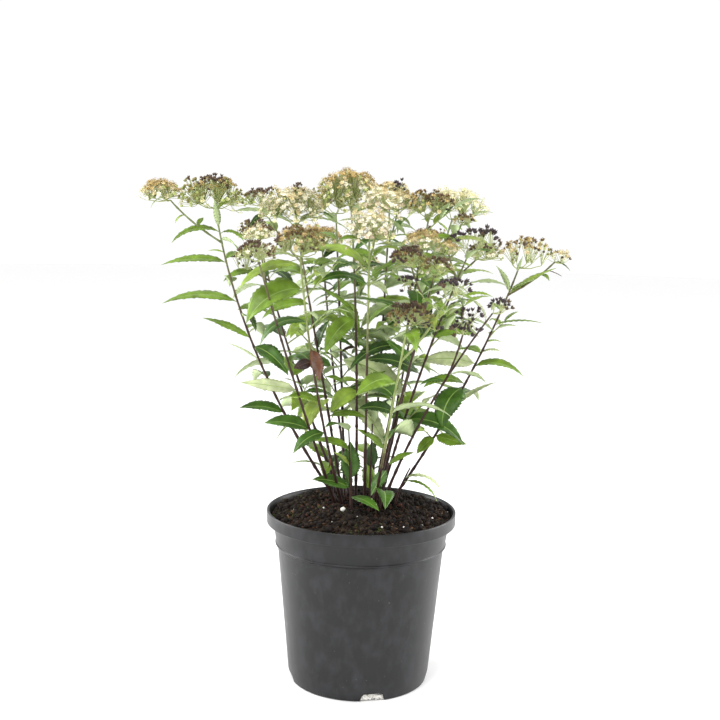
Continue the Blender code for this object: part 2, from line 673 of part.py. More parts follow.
def is_clear(owner, shape, taken):
    """True when a shape touches nothing that belongs to another piece."""
    low, high, tree = tree_of(shape)
    for other, other_low, other_high, other_tree in taken:
        if other == owner or (low > other_high).any() or (high < other_low).any():
            continue
        if tree.overlap(other_tree):
            return False
    return True


def plan_cane(name, plan, chance, seen_lines):
    """The bare cane, the leafy stem and twigs above it, and its leaf rule."""
    foot, bow, phase, heads = plan
    path = cane_path(foot, bow, heads[0])
    stem_start = walk(path, BARE_SHARE, 1.0, GAP)[1]
    cane_points = [path(share) for share in np.linspace(0.0, BARE_SHARE, CANE_STEPS + 1)]
    cane_radii = np.linspace(CANE_FOOT_RADIUS, STEM_LOW_RADIUS, CANE_STEPS + 1)
    cane = limb(cane_points, cane_radii, CANE_SIDES, True)
    stem_points = [path(share) for share in np.linspace(stem_start, 1.0, STEM_STEPS + 1)]
    shapes = [limb(stem_points, np.linspace(STEM_LOW_RADIUS, STEM_TIP_RADIUS, STEM_STEPS + 1), 3)]
    leaves = stem_leaves(path, stem_start, math.radians(phase), 1.0, chance)
    seen = seen_leaves(name, path)
    dome, rays = flower_head(heads[0], below_tip(path, heads[0][3] * RAY_DROP), chance)
    shapes += [dome, *rays]
    for head in heads[1:]:
        twig = twig_path(path, heads[0], head)
        twig_points = [twig(share) for share in np.linspace(0.0, 1.0, TWIG_STEPS + 1)]
        dome, rays = flower_head(head, below_tip(twig, head[3] * RAY_DROP), chance)
        shapes.append(limb(twig_points, np.linspace(TWIG_RADIUS, STEM_TIP_RADIUS, TWIG_STEPS + 1), 3))
        shapes += [dome, *rays]
        leaves += stem_leaves(twig, 0.0, math.radians(phase + TWIG_PHASE), TWIG_LEAF_SIZE, chance)
        seen += seen_leaves(name + "_twig", twig)
    leaves.reverse()
    return cane, shapes, seen + spaced(leaves, seen, seen_lines)


def plan_shoot(name, plan, chance, seen_lines):
    """A short shoot's stem, and its leaf rule."""
    path = shoot_path(*plan)
    points = [path(share) for share in np.linspace(0.0, 1.0, SHOOT_STEPS + 1)]
    stem = limb(points, np.linspace(SHOOT_RADIUS, STEM_TIP_RADIUS, SHOOT_STEPS + 1), 3, True)
    leaves = []
    for number in range(SHOOT_LEAVES):
        root = path(SHOOT_TOP_LEAF - SHOOT_LEAVES_REACH * number / SHOOT_LEAVES)
        spin = math.radians(plan[1]) + number * SPIRAL
        length = LEAF_LENGTH * SHOOT_LEAF_SIZE * chance.uniform(*SHOOT_LEAF_RANGE)
        rise = math.radians(chance.uniform(*SHOOT_RISE))
        bend = math.radians(chance.uniform(*SHOOT_BEND))
        roll = math.radians(chance.uniform(*SHOOT_ROLL))
        leaves.append((root, spin, rise, length, bend, roll))
    seen = seen_leaves("shoot_" + name, path)
    return stem, seen + spaced(leaves, seen, seen_lines)


def main():
    for item in list(bpy.data.objects):
        bpy.data.objects.remove(item, do_unlink=True)
    chance = random.Random(SEED)
    plastic, peat = material("dark plastic", PLASTIC), material("peat", PEAT)
    bark, green = material("bark", BARK), material("leaves", LEAVES)
    pot, soil = make_pot(plastic), make_soil(peat)

    # Limbs and flower heads claim their space first
    seen_lines = np.concatenate([line_in_view(plan) for plan in every_seen()])
    taken, masses, rules, grown = [], {}, {}, {}
    for item in (pot, soil):
        corners = [corner.co for corner in item.data.vertices]
        faces = [tuple(face.vertices) for face in item.data.polygons]
        taken.append((item.name, *tree_of((corners, faces))))
    for name, plan in CANES.items():
        cane, shapes, leaves = plan_cane(name, plan, chance, seen_lines)
        mesh_object("cane_" + name, *cane, bark)
        taken.append(("cane_" + name, *tree_of(cane)))
        masses["foliage_" + name], rules["foliage_" + name] = shapes, leaves
    for name, plan in SHOOTS.items():
        stem, leaves = plan_shoot(name, plan, chance, seen_lines)
        masses["shoot_" + name], rules["shoot_" + name] = [stem], leaves
    for name, shapes in masses.items():
        taken += [(name, *tree_of(shape)) for shape in shapes]

    # Then the masses take turns to add a leaf, and skip one that has no room
    for turn in range(max(len(rule) for rule in rules.values())):
        for name, rule in rules.items():
            if turn >= len(rule):
                continue
            if is_clear(name, leaf(*rule[turn], grow=LEAF_CLEARANCE), taken):
                shape = leaf(*rule[turn])
                grown.setdefault(name, []).append(shape)
                taken.append((name, *tree_of(shape)))
    for name, limbs in masses.items():
        fuse(name, limbs, grown[name], green)


main()
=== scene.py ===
"""Looks for the potted Japanese spirea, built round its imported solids.

Units are metres in the frame of the solids: the origin is the middle of the
pot's underside, +Z is up, and the camera looks along +Y. Canes, twigs and
leaves follow the rule that the solids follow, carried on to finer twigs.
"""

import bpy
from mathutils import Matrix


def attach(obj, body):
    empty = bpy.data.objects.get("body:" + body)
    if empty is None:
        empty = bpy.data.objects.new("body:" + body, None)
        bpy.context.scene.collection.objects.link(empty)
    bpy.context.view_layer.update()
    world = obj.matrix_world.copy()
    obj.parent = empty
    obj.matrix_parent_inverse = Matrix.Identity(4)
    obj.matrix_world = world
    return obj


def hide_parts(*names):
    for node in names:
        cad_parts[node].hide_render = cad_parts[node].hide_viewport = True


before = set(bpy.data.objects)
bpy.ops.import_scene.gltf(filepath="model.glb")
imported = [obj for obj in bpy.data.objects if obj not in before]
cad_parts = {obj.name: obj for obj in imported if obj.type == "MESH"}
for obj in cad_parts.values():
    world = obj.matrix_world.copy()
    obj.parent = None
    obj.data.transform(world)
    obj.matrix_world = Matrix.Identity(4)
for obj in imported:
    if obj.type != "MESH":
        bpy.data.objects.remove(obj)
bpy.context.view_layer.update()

import math
import random

import bmesh
import bpy
import numpy as np
from mathutils import Matrix, Vector, noise

UP = np.array((0.0, 0.0, 1.0))

# Camera: where the photo was taken from
CAMERA_PLACE = (-0.0044, -1.2, 0.502)
CAMERA_DOWN = 8.33  # degrees, as is the next
CAMERA_ROLL = 1.2
CAMERA_LENS = 61.2  # millimetres, as is the next
CAMERA_SENSOR = 36.0

# Pot and soil
POT_HEIGHT = 0.175
POT_SIDES = 144
WALL = 0.0014
LIP_RADIUS = 0.095
NOTCH_TURNS = (-78, 12, 102, 192)  # degrees
NOTCH_WIDTH = 0.027
NOTCH_HEIGHT = 0.0085
NOTCH_DEPTH = 0.014
BASE_RADIUS = 0.0695
BASE_THICKNESS = 0.011
BODY_LOW_RADIUS = 0.0716
BODY_LOW_HEIGHT = 0.010
BODY_TOP_RADIUS = 0.0836
BODY_TOP_HEIGHT = 0.1390
COLLAR_LOW_RADIUS = 0.0853
COLLAR_LOW_HEIGHT = 0.1402
BEAD = 0.0010
COLLAR_TOP_RADIUS = 0.0884
LIP_HEIGHT = 0.0125
LIP_WALL = 0.0020
SOIL_FLAT_RADIUS = 0.050
SOIL_LEVEL = 0.180
SOIL_EDGE_RADIUS = 0.0895
SOIL_EDGE_LEVEL = 0.1705
GAP = 0.0003  # that keeps the solids apart

# Canes and twigs
CANE_FOOT_RADIUS = 0.0016
STEM_LOW_RADIUS = 0.0013
STEM_TIP_RADIUS = 0.0008
CANE_SIDES, STEM_SIDES, SHOOT_SIDES, SPRAY_SIDES = 10, 8, 7, 5
BARE_SHARE = 0.24  # of a cane's path, below its mass
TWIG_LOW_RADIUS = 0.00104
FORK_REACH = 1.15
FORK_RANGE = (0.040, 0.085)
TWIG_ARCH = (0.62, 0.62, 0.42)
TWIG_PHASE = 70  # degrees
LIMB_STEP = 0.0032
BUD_SWELL = 0.32
BUD_LENGTH = 0.0022

# Each cane by name: its foot (x, y), how far its middle bows outwards, the turn
# of its lowest leaf in degrees, and its flower heads as (x, y, z, radius, kind)
CANES = {
    "left_tall": ((-0.024, 0.006), 0.022, 200, (
        (-0.151, 0.000, 0.492, 0.028, "olive"), (-0.200, -0.005, 0.490, 0.019, "tan"))),
    "left_front": ((-0.026, -0.004), 0.004, 250, (
        (-0.099, -0.115, 0.440, 0.016, "brown"), (-0.101, -0.062, 0.453, 0.012, "cream"))),
    "left_inner": ((-0.019, -0.009), 0.012, 300, (
        (-0.062, -0.088, 0.449, 0.023, "rust"),)),
    "left_middle": ((-0.018, 0.001), 0.000, 120, (
        (-0.075, 0.020, 0.482, 0.029, "cream"), (-0.112, 0.062, 0.484, 0.016, "brown"))),
    "centre_left": ((-0.017, 0.012), -0.004, 170, (
        (-0.034, 0.100, 0.486, 0.026, "olive"),)),
    "centre_tall": ((-0.006, 0.006), -0.006, 220, (
        (-0.018, 0.022, 0.499, 0.029, "tan"),)),
    "centre_front": ((0.003, -0.012), 0.002, 280, (
        (0.002, -0.072, 0.465, 0.021, "hanging"), (0.012, -0.052, 0.486, 0.018, "hanging"))),
    "centre_back": ((0.010, 0.016), 0.006, 80, (
        (0.024, 0.104, 0.492, 0.018, "gold"), (0.033, 0.052, 0.485, 0.017, "gold"))),
    "right_centre": ((0.012, 0.006), 0.000, 20, (
        (0.064, 0.028, 0.483, 0.021, "rust"), (0.051, -0.052, 0.449, 0.016, "tan"))),
    "right_front": ((0.011, -0.008), 0.000, 310, (
        (0.064, -0.084, 0.428, 0.014, "brown"), (0.037, -0.104, 0.437, 0.015, "maroon"))),
    "right_inner": ((0.018, 0.000), -0.006, 345, (
        (0.104, -0.020, 0.449, 0.022, "seed"), (0.076, -0.043, 0.441, 0.010, "tan"))),
    "right_back": ((0.018, 0.018), -0.006, 60, (
        (0.095, 0.098, 0.483, 0.027, "pale"), (0.098, 0.048, 0.466, 0.010, "rust"))),
    "right_tall": ((0.029, 0.005), 0.011, 10, (
        (0.155, 0.000, 0.438, 0.026, "sparse"), (0.192, 0.020, 0.431, 0.011, "thin"))),
    "right_low": ((0.020, -0.012), -0.010, 330, (
        (0.127, -0.036, 0.387, 0.012, "seed"), (0.092, -0.102, 0.385, 0.013, "bunch"))),
    "front_low": ((0.012, -0.027), 0.000, 270, (
        (0.038, -0.140, 0.389, 0.018, "maroon"), (0.076, -0.126, 0.411, 0.016, "seed"))),
    "back_left": ((-0.021, 0.022), 0.010, 140, (
        (-0.118, 0.122, 0.448, 0.020, "brown"), (-0.128, 0.082, 0.416, 0.015, "seed"))),
    "back_middle": ((-0.013, 0.030), 0.010, 100, (
        (-0.050, 0.162, 0.440, 0.023, "tan"), (0.000, 0.176, 0.413, 0.016, "cream"))),
    "back_right": ((0.018, 0.030), 0.000, 40, (
        (0.070, 0.158, 0.442, 0.021, "olive"), (0.128, 0.128, 0.430, 0.018, "brown"))),
}

# Short leafy shoots by name: foot (x, y), turn in degrees, lean, height
SHOOTS = {
    "front_middle": ((-0.010, -0.030), 262, 0.008, 0.050),
    "front_right": ((0.018, -0.025), 310, 0.012, 0.050),
    "middle": ((-0.011, -0.0175), 240, 0.006, 0.080),
    "centre": ((0.008, -0.0165), 285, 0.004, 0.086),
    "right": ((0.034, -0.008), 345, 0.014, 0.040),
    "back_left": ((-0.028, 0.036), 130, 0.012, 0.034),
    "back": ((0.003, 0.041), 95, 0.014, 0.040),
}
SHOOT_RADIUS = 0.0013
SHOOT_TIP_RADIUS = 0.0007
SHOOT_CURVE = 1.5
SHOOT_LEAVES = 6
SHOOT_TOP_LEAF = 0.98
SHOOT_LEAVES_REACH = 0.72  # the part of a shoot that its leaves share, from its tip
SHOOT_LEAF_SIZE = 0.70
SHOOT_LEAF_RANGE = (0.80, 1.05)
SHOOT_RISE = (15.0, 50.0)  # degrees, as are the next two
SHOOT_BEND = (45.0, 75.0)
SHOOT_ROLL = (-20.0, 20.0)
SHOOT_BROAD = 1.15

# Leaves
LEAF_LENGTH = 0.074
LEAF_WIDTH = 0.0205
FIRST_LEAF = 0.012
LEAF_SPACING = 0.0180
LEAF_END = 0.016
SPIRAL = math.radians(137.5)
TWIG_LEAF_SIZE = 0.62
LEAF_RANGE = (0.85, 1.08)
LEAF_SHRINK = (0.55, 0.45)  # from this height on the stem, by this much at its tip
LEAF_RISE = (12.0, 36.0)  # degrees, as are the next three
LEAF_LIFT = 18.0
LEAF_BEND = (50.0, 95.0)
LEAF_ROLL = (-34.0, 34.0)
LEAF_SWAY = 0.35  # radians
LEAF_BROAD = (1.25, 0.80)  # lowest and highest in the crown
LEAF_ROWS = 30
LEAF_STALK = 0.05
BLADE_FOOT, BLADE_TIP = 0.66, 1.12  # how blunt the blade is at its foot and tip
LEAF_COLUMNS = np.array((-1.0, -0.70, -0.38, -0.045, 0.045, 0.38, 0.70, 1.0))
LEAF_VEINS = 8.5
VEIN_RELIEF = 0.00030
TOOTH_DEPTH = 0.060
TEETH = (0.16, 0.97)  # shares of the blade where its teeth begin and end
STALK_RADIUS = 0.00045
LEAF_THICK = 0.00035
SEEN_BROAD = 1.15  # how broad seen leaves are, times the table's value
SEEN_WILD = 0.3  # how much they sway and twist, as a share of what the others do
WILD_SWAY, WILD_TWIST = (-0.30, 0.30), (-0.35, 0.35)
WIDTH_RANGE = (0.85, 1.15)
FOLD_RANGE = (0.25, 0.55)
WAVE_RANGE = (0.0, 0.10)

# No leaf of the rule grows this close to the root of one that stands out in view
SEEN_ROOM = 0.013
# Nor does one that would stand before such a leaf, seen from the front
VIEW_PLACE = np.array((0.0, -1.2, 0.50))
SEEN_CLEAR = 0.0065  # across the view, as a share of the distance
LINE_STEPS = 6
HIDING_STEPS = 3
# Leaves that stand out in view, by stem: the share of the stem's path at the root, the turn
# and the rise in degrees, the length, the bend and the roll in degrees, the look and how broad
# Of the looks, the darkest is painted shade: a leaf green darkened for leaves that the crown shades
SEEN_LEAVES = {
    "left_tall": (
        (0.880, 262, 66, 0.031, 15, 10, "deep", 0.8), (0.865, 192, 24, 0.052, 76, -22, "mid", 0.72),
        (0.860, 345, 28, 0.029, 88, 16, "mid", 0.85), (0.840, 318, 10, 0.040, 88, -34, "mid", 0.85),
        (0.800, 185, 30, 0.016, 50, -20, "fresh", 0.85), (0.780, 60, 30, 0.045, 70, 10, "mid", 0.85),
        (0.770, 174, 12, 0.067, 32, -24, "mid", 0.72), (0.705, 100, 25, 0.052, 70, 15, "mid", 0.85),
        (0.645, 188, 24, 0.077, 52, -24, "mid", 0.66), (0.600, 300, 20, 0.038, 80, -12, "shade", 0.85),
        (0.560, 75, 20, 0.055, 75, -10, "mid", 0.85), (0.530, 170, 34, 0.054, 28, -22, "mid", 0.75),
        (0.505, 325, -6, 0.052, 48, 26, "deep", 1.25), (0.460, 182, 38, 0.036, 20, 24, "fresh", 0.85),
        (0.400, 110, 22, 0.060, 70, 12, "deep", 0.85), (0.290, 190, 27, 0.047, 40, -24, "deep", 1.1)),
    "left_tall_twig": (
        (0.880, 200, 0, 0.021, 70, 20, "fresh", 0.85), (0.560, 215, -10, 0.014, 60, -10, "fresh", 0.85),
        (0.350, 75, 45, 0.018, 40, 10, "mid", 0.85)),
    "right_tall": (
        (0.915, 300, 68, 0.019, 10, 0, "mid", 0.7), (0.850, 338, 35, 0.028, 22, 12, "mid", 0.85),
        (0.840, 205, 78, 0.032, 40, 22, "mid", 0.7), (0.835, 5, 36, 0.054, 14, 14, "fresh", 0.62),
        (0.765, 95, 30, 0.045, 70, 10, "mid", 0.85), (0.715, 350, 18, 0.047, 28, 10, "mid", 0.6),
        (0.645, 10, 30, 0.016, 60, 15, "fresh", 0.85), (0.600, 120, 25, 0.052, 70, -10, "mid", 0.85),
        (0.550, 354, 26, 0.054, 74, 24, "mid", 0.8), (0.560, 190, 20, 0.058, 36, -46, "pale", 1),
        (0.480, 192, 34, 0.047, 76, -24, "mid", 0.85), (0.465, 225, -4, 0.055, 98, -12, "deep", 1.6),
        (0.430, 60, 22, 0.058, 70, 12, "deep", 0.85), (0.375, 350, 50, 0.056, 32, 14, "pale", 0.8),
        (0.605, 340, 36, 0.021, 60, 14, "pale", 0.85), (0.270, 205, -34, 0.026, 10, -30, "mid", 1.5),
        (0.275, 335, -8, 0.034, 4, 30, "mid", 1.5)),
    "right_tall_twig": (
        (0.900, 350, -12, 0.018, 40, 10, "shade", 0.85), (0.550, 290, 20, 0.022, 60, 10, "mid", 0.85)),
    "right_low": (
        (0.860, 195, 14, 0.047, 36, -24, "mid", 0.9), (0.630, 190, 22, 0.026, 60, -24, "deep", 0.85),
        (0.920, 150, 80, 0.030, 60, 10, "pale", 0.7)),
    "left_front": (
        (0.480, 185, 12, 0.054, 8, -40, "pale", 0.9), (0.320, 186, 28, 0.046, 40, -28, "deep", 1.2)),
    "left_inner": (
        (0.910, 200, 15, 0.066, 70, -24, "fresh", 0.85), (0.830, 200, 4, 0.066, 68, -38, "mid", 1.2),
        (0.710, 200, 25, 0.056, 100, -20, "deep", 0.85), (0.420, 195, 36, 0.032, 50, -30, "mid", 1.1),
        (0.300, 216, 5, 0.042, 60, -32, "deep", 1.25)),
    "left_middle": (
        (0.910, 168, 37, 0.070, 50, 22, "pale", 0.75), (0.660, 200, 14, 0.053, 60, -30, "mid", 0.9),
        (0.510, 20, 84, 0.032, 32, 10, "shade", 1.4), (0.290, 348, 25, 0.042, 50, 26, "mid", 0.85)),
    "centre_left": (
        (0.455, 332, -2, 0.084, 40, 40, "pale", 0.95), (0.370, 325, -34, 0.084, 20, 34, "pale", 0.75)),
    "centre_tall": (
        (0.600, 182, 48, 0.049, 30, -18, "mid", 0.65), (0.585, 222, -10, 0.054, 60, -36, "mid", 1.3),
        (0.360, 215, -14, 0.038, 40, -34, "fresh", 1.4)),
    "centre_front": (
        (0.840, 180, 60, 0.074, 100, -24, "fresh", 0.7), (0.815, 352, 45, 0.040, 30, 20, "mid", 0.75),
        (0.790, 200, 42, 0.060, 85, -26, "deep", 0.8)),
    "right_front": (
        (0.400, 200, 35, 0.042, 50, -36, "shade", 1.2), (0.240, 194, 52, 0.040, 30, -30, "mid", 1.2),
        (0.615, 150, 46, 0.034, 20, -14, "deep", 1.6)),
    "right_inner": (
        (0.325, 345, 16, 0.068, 70, 30, "deep", 0.95), (0.500, 200, 40, 0.062, 50, -34, "shade", 1.2)),
    "shoot_middle": (
        (0.360, 92, 80, 0.038, 10, 0, "deep", 1.75), (0.240, 140, 76, 0.023, 10, -10, "deep", 1.5),
        (0.255, 185, 30, 0.040, 35, -34, "deep", 1.3), (0.535, 190, 54, 0.022, 25, -24, "gold", 1.3)),
    "shoot_centre": (
        (0.475, 80, 78, 0.027, 10, 0, "shade", 1.6), (0.215, 110, 74, 0.030, 10, 0, "mid", 1.4)),
    "shoot_front_middle": (
        (0.300, 312, 8, 0.042, 32, 4, "deep", 1.05),),
    "shoot_front_right": (
        (0.860, 205, -48, 0.030, 15, -36, "deep", 1.6), (0.965, 345, 44, 0.030, 30, 30, "mid", 1.1)),
    "shoot_right": (
        (0.745, 356, 30, 0.050, 112, 14, "pale", 0.45), (0.640, 340, 20, 0.044, 90, 12, "mid", 0.45)),
}

# Side sprays: leafy twiglets between the main leaves, without flowers
SPRAY_EVERY = 3  # leaves of the rule to one spray
SPRAY_LENGTH = 0.042
SPRAY_LEAVES = 4
SPRAY_FEWEST = 3  # leaves without which a spray is left out
SPRAY_LEAF_SIZE = 0.52
SPRAY_RADII = (0.0008, 0.0004)
SPRAY_OUT = 0.75
SPRAY_DROOP = 0.18
# More of them where the crown is thick, by stem: share of the stem, turn in degrees, size
EXTRA_SPRAYS = {
    "left_inner": ((0.86, 330, 0.8), (0.83, 30, 0.9), (0.79, 340, 1.1), (0.75, 250, 0.8),
                   (0.73, 20, 1.1), (0.68, 310, 0.8)),
    "left_middle": ((0.74, 340, 0.9), (0.66, 300, 1.0), (0.58, 10, 0.9)),
    "left_tall": ((0.55, 350, 0.7), (0.50, 40, 0.8)),
    "centre_front": ((0.84, 300, 0.8), (0.79, 10, 0.8), (0.30, 200, 0.7)),
    "centre_tall": ((0.72, 340, 0.9), (0.66, 20, 0.9)),
    "centre_left": ((0.34, 300, 0.9), (0.44, 210, 0.9)),
    "centre_back": ((0.36, 330, 0.9), (0.45, 200, 0.9), (0.89, 320, 0.9), (0.84, 20, 0.9),
                    (0.69, 340, 0.9), (0.66, 210, 0.9)),
    "right_centre": ((0.33, 320, 0.9), (0.42, 340, 0.9), (0.90, 350, 0.9), (0.85, 200, 0.9),
                     (0.71, 330, 0.9), (0.65, 20, 0.9)),
    "right_back": ((0.86, 340, 0.8), (0.62, 350, 1.0), (0.51, 0, 1.0)),
    "right_inner": ((0.69, 330, 1.0), (0.60, 10, 1.1), (0.50, 330, 1.1), (0.72, 0, 0.9), (0.30, 340, 0.9)),
    "right_front": ((0.80, 10, 0.8), (0.69, 330, 0.8), (0.58, 10, 0.9)),
    "right_low": ((0.92, 30, 0.8), (0.85, 10, 0.9), (0.78, 200, 0.8), (0.70, 20, 0.8), (0.64, 200, 0.9)),
    "right_low_twig": ((0.85, 20, 0.6), (0.65, 200, 0.6)),
    "right_tall": ((0.74, 200, 0.7), (0.66, 40, 0.7), (0.60, 180, 0.7), (0.26, 180, 0.8)),
    "front_low_twig": ((0.70, 190, 0.6), (0.55, 350, 0.6)),
}

# Flower heads
HEAD_FLATNESS = 0.46
HEAD_SPREAD = 1.08
HEAD_LUMPS = 0.30
HEAD_EDGE = 0.20
RAY_DROP = 0.75
FLORET_SPACING = 0.0037
FLORET_SIZES = (0.0042, 0.0057)
FLORET_VERSIONS = 3
HUB_SPACING = 0.0042
RAY_RADII = (0.00060, 0.00050, 0.00040)
PEDICEL_RADII = (0.00030, 0.00026, 0.00034)
GOLDEN_TURN = math.radians(137.508)

# Parts of florets, one unit long, each with its corners and faces. A petal is cupped and
# opens along +Z and outwards along +X
PETAL = (np.array(((0.0, 0.0, 0.0), (0.60, -0.40, 0.36), (0.52, 0.0, 0.20), (0.60, 0.40, 0.36),
                   (1.0, 0.0, 0.60))),
         ((0, 1, 2), (0, 2, 3), (1, 4, 2), (2, 4, 3)))
# A seed pod is a pointed bean that opens inwards
POD = (np.array(((0.0, 0.0, 0.0), (0.36, 0.0, 0.50), (0.08, 0.27, 0.55), (-0.12, 0.0, 0.52),
                 (0.08, -0.27, 0.55), (0.34, 0.0, 1.08))),
       ((0, 1, 2), (0, 2, 3), (0, 3, 4), (0, 4, 1), (1, 5, 2), (2, 5, 3), (3, 5, 4), (4, 5, 1)))
# A bud is round
BUD = (np.array(((0.0, 0.0, 0.0), (0.30, 0.0, 0.30), (0.09, 0.28, 0.30), (-0.24, 0.17, 0.30),
                 (-0.24, -0.17, 0.30), (0.09, -0.28, 0.30), (0.0, 0.0, 0.62))),
       ((0, 2, 1), (0, 3, 2), (0, 4, 3), (0, 5, 4), (0, 1, 5),
        (1, 2, 6), (2, 3, 6), (3, 4, 6), (4, 5, 6), (5, 1, 6)))
# Sorts of floret: the part, its shape and how high it starts, its sway, size, range of sizes and of
# tilts, then the number of its stamens, their sway, and their ranges of tilts and of lengths
FLORETS = {
    "open": ("petal", PETAL, 0.05, 0.2, 0.52, (0.85, 1.1), (-0.15, 0.25),
             (11, 0.3, (0.15, 0.95), (0.55, 0.85))),
    "spent": ("petal", PETAL, 0.05, 0.3, 0.50, (0.7, 1.1), (-0.7, 0.1),
              (7, 0.4, (0.3, 1.25), (0.40, 0.65))),
    "pods": ("pod", POD, 0.0, 0.15, 0.62, (0.85, 1.1), (0.05, 0.30), (0, 0.0, (), ())),
}
# Each kind of flower head: the share of its florets that is kept, how large they are, how far they
# stand below the dome as a share of its radius, and their sorts, palettes and shares from its top down
HEAD_KINDS = {
    "cream": (1.0, 1.0, 0.55, (
        ("pods", "brown", 0.10), ("open", "tan", 0.18), ("open", "cream", 0.40),
        ("spent", "blush", 0.16), ("bud", "lime", 0.06), ("open", "gold", 0.10))),
    "pale": (0.62, 1.0, 0.3, (
        ("open", "gold", 0.20), ("open", "cream", 0.60), ("open", "gold", 0.20))),
    "hanging": (1.0, 1.0, 0.95, (
        ("open", "tan", 0.10), ("open", "cream", 0.50), ("open", "blush", 0.28), ("bud", "lime", 0.12))),
    "gold": (1.0, 1.0, 0.4, (
        ("spent", "amber", 0.22), ("open", "tan", 0.24), ("open", "gold", 0.26),
        ("open", "cream", 0.12), ("spent", "lime", 0.16))),
    "tan": (1.0, 1.0, 0.22, (
        ("open", "amber", 0.24), ("spent", "amber", 0.16), ("open", "tan", 0.20),
        ("spent", "blush", 0.16), ("pods", "lime", 0.12), ("open", "cream", 0.12))),
    "rust": (1.0, 1.0, 0.34, (
        ("spent", "rust", 0.30), ("open", "amber", 0.16), ("pods", "brown", 0.20),
        ("spent", "olive", 0.14), ("pods", "lime", 0.12), ("open", "tan", 0.08))),
    "maroon": (1.0, 1.12, 0.4, (
        ("spent", "maroon", 0.30), ("spent", "rust", 0.26), ("pods", "maroon", 0.20),
        ("pods", "seed", 0.10), ("pods", "olive", 0.14))),
    "brown": (0.85, 1.0, 0.34, (
        ("pods", "brown", 0.36), ("spent", "brown", 0.18), ("spent", "rust", 0.14),
        ("pods", "olive", 0.14), ("open", "cream", 0.10), ("pods", "lime", 0.08))),
    "olive": (0.95, 1.0, 0.45, (
        ("pods", "brown", 0.26), ("spent", "amber", 0.16), ("pods", "olive", 0.34),
        ("pods", "lime", 0.18), ("open", "gold", 0.06))),
    "seed": (0.3, 1.25, 0.1, (
        ("pods", "seed", 0.80), ("pods", "brown", 0.20))),
    "bunch": (0.5, 1.3, 1.3, (
        ("pods", "seed", 0.90), ("pods", "brown", 0.10))),
    "sparse": (0.38, 1.1, 0.1, (
        ("spent", "rust", 0.26), ("spent", "amber", 0.24), ("pods", "brown", 0.22),
        ("open", "tan", 0.16), ("pods", "olive", 0.12))),
    "thin": (0.45, 1.0, 0.2, (
        ("open", "tan", 0.45), ("pods", "brown", 0.25), ("open", "cream", 0.30))),
}
# Small dark heads on side rays, by stem: the share of the stem they spring from, and the head
SIDE_HEADS = {
    "front_low_twig": ((0.50, (0.060, -0.121, 0.377, 0.008, "bunch")),),
    "right_front_twig": ((0.50, (0.038, -0.092, 0.413, 0.008, "bunch")),),
    "centre_back_twig": ((0.80, (0.033, 0.048, 0.499, 0.007, "bunch")),),
    "right_low_twig": ((0.75, (0.086, -0.100, 0.374, 0.009, "bunch")),),
    "right_inner_twig": ((0.70, (0.088, -0.036, 0.449, 0.009, "seed")),),
}
# Palettes: petals, threads, anthers, pods
PALETTES = {
    "cream": ((0.93, 0.90, 0.72), (0.90, 0.87, 0.66), (0.70, 0.62, 0.36), (0.50, 0.55, 0.22)),
    "blush": ((0.84, 0.73, 0.56), (0.84, 0.74, 0.56), (0.54, 0.42, 0.26), (0.46, 0.45, 0.20)),
    "gold": ((0.91, 0.86, 0.55), (0.91, 0.87, 0.57), (0.70, 0.61, 0.30), (0.54, 0.58, 0.22)),
    "tan": ((0.78, 0.67, 0.40), (0.80, 0.69, 0.43), (0.54, 0.42, 0.19), (0.46, 0.44, 0.17)),
    "amber": ((0.60, 0.46, 0.19), (0.64, 0.51, 0.23), (0.33, 0.23, 0.09), (0.34, 0.28, 0.10)),
    "rust": ((0.25, 0.165, 0.055), (0.30, 0.205, 0.075), (0.12, 0.070, 0.028), (0.15, 0.100, 0.036)),
    "maroon": ((0.100, 0.058, 0.030), (0.125, 0.075, 0.038), (0.050, 0.027, 0.017), (0.075, 0.044, 0.024)),
    "brown": ((0.17, 0.10, 0.045), (0.22, 0.15, 0.07), (0.085, 0.045, 0.022), (0.085, 0.050, 0.024)),
    "olive": ((0.34, 0.30, 0.09), (0.38, 0.36, 0.13), (0.15, 0.11, 0.03), (0.205, 0.195, 0.045)),
    "lime": ((0.66, 0.68, 0.30), (0.66, 0.68, 0.32), (0.44, 0.41, 0.15), (0.42, 0.48, 0.15)),
    "seed": ((0.055, 0.030, 0.024), (0.10, 0.07, 0.045), (0.045, 0.022, 0.022), (0.034, 0.018, 0.020)),
}

# Dead leaves: place of the root, turn and rise in degrees, length, bend and roll
# in degrees, how broad, and its look
DEAD_LEAVES = (
    ((-0.0495, -0.0680, 0.334), 200, -14, 0.019, 10, -50, 2.4, "leaf_burnt"),
    ((-0.0500, -0.0685, 0.346), 312, -64, 0.032, 8, -10, 1.9, "leaf_dead"),
    ((-0.0084, 0.0070, 0.338), 200, 10, 0.018, 60, -30, 0.9, "leaf_burnt"),
    ((-0.0318, -0.0325, 0.236), 300, -70, 0.014, 60, 0, 0.8, "leaf_dead"),
    ((0.1790, 0.0145, 0.4180), 350, -10, 0.016, 20, 0, 0.8, "leaf_burnt"),
)

# Colours as (red, green, blue) in linear light
LEAF_TOPS = {
    "leaf_mid": (0.142, 0.238, 0.022),
    "leaf_fresh": (0.255, 0.370, 0.050),
    # The deep green is partly the leaves' own darker green and partly painted shade
    "leaf_deep": (0.046, 0.112, 0.012),
    # The darkest green below is painted shade: a leaf green darkened for leaves in the crown's shade
    "leaf_shade": (0.023, 0.060, 0.008),
    "leaf_gold": (0.310, 0.400, 0.080),
    # The pale green is partly the leaves' pale undersides and partly painted highlight and painted light
    # shining through
    "leaf_pale": (0.480, 0.540, 0.300),
    "leaf_dead": (0.110, 0.037, 0.014),
    "leaf_burnt": (0.030, 0.013, 0.010),
}
LEAF_UNDER = (0.400, 0.490, 0.240)
LEAF_RIB = (0.230, 0.350, 0.080)
DEAD_UNDER = (0.085, 0.042, 0.026)
FRESH_LOOKS = ("leaf_mid", "leaf_fresh", "leaf_deep", "leaf_shade", "leaf_gold", "leaf_pale")
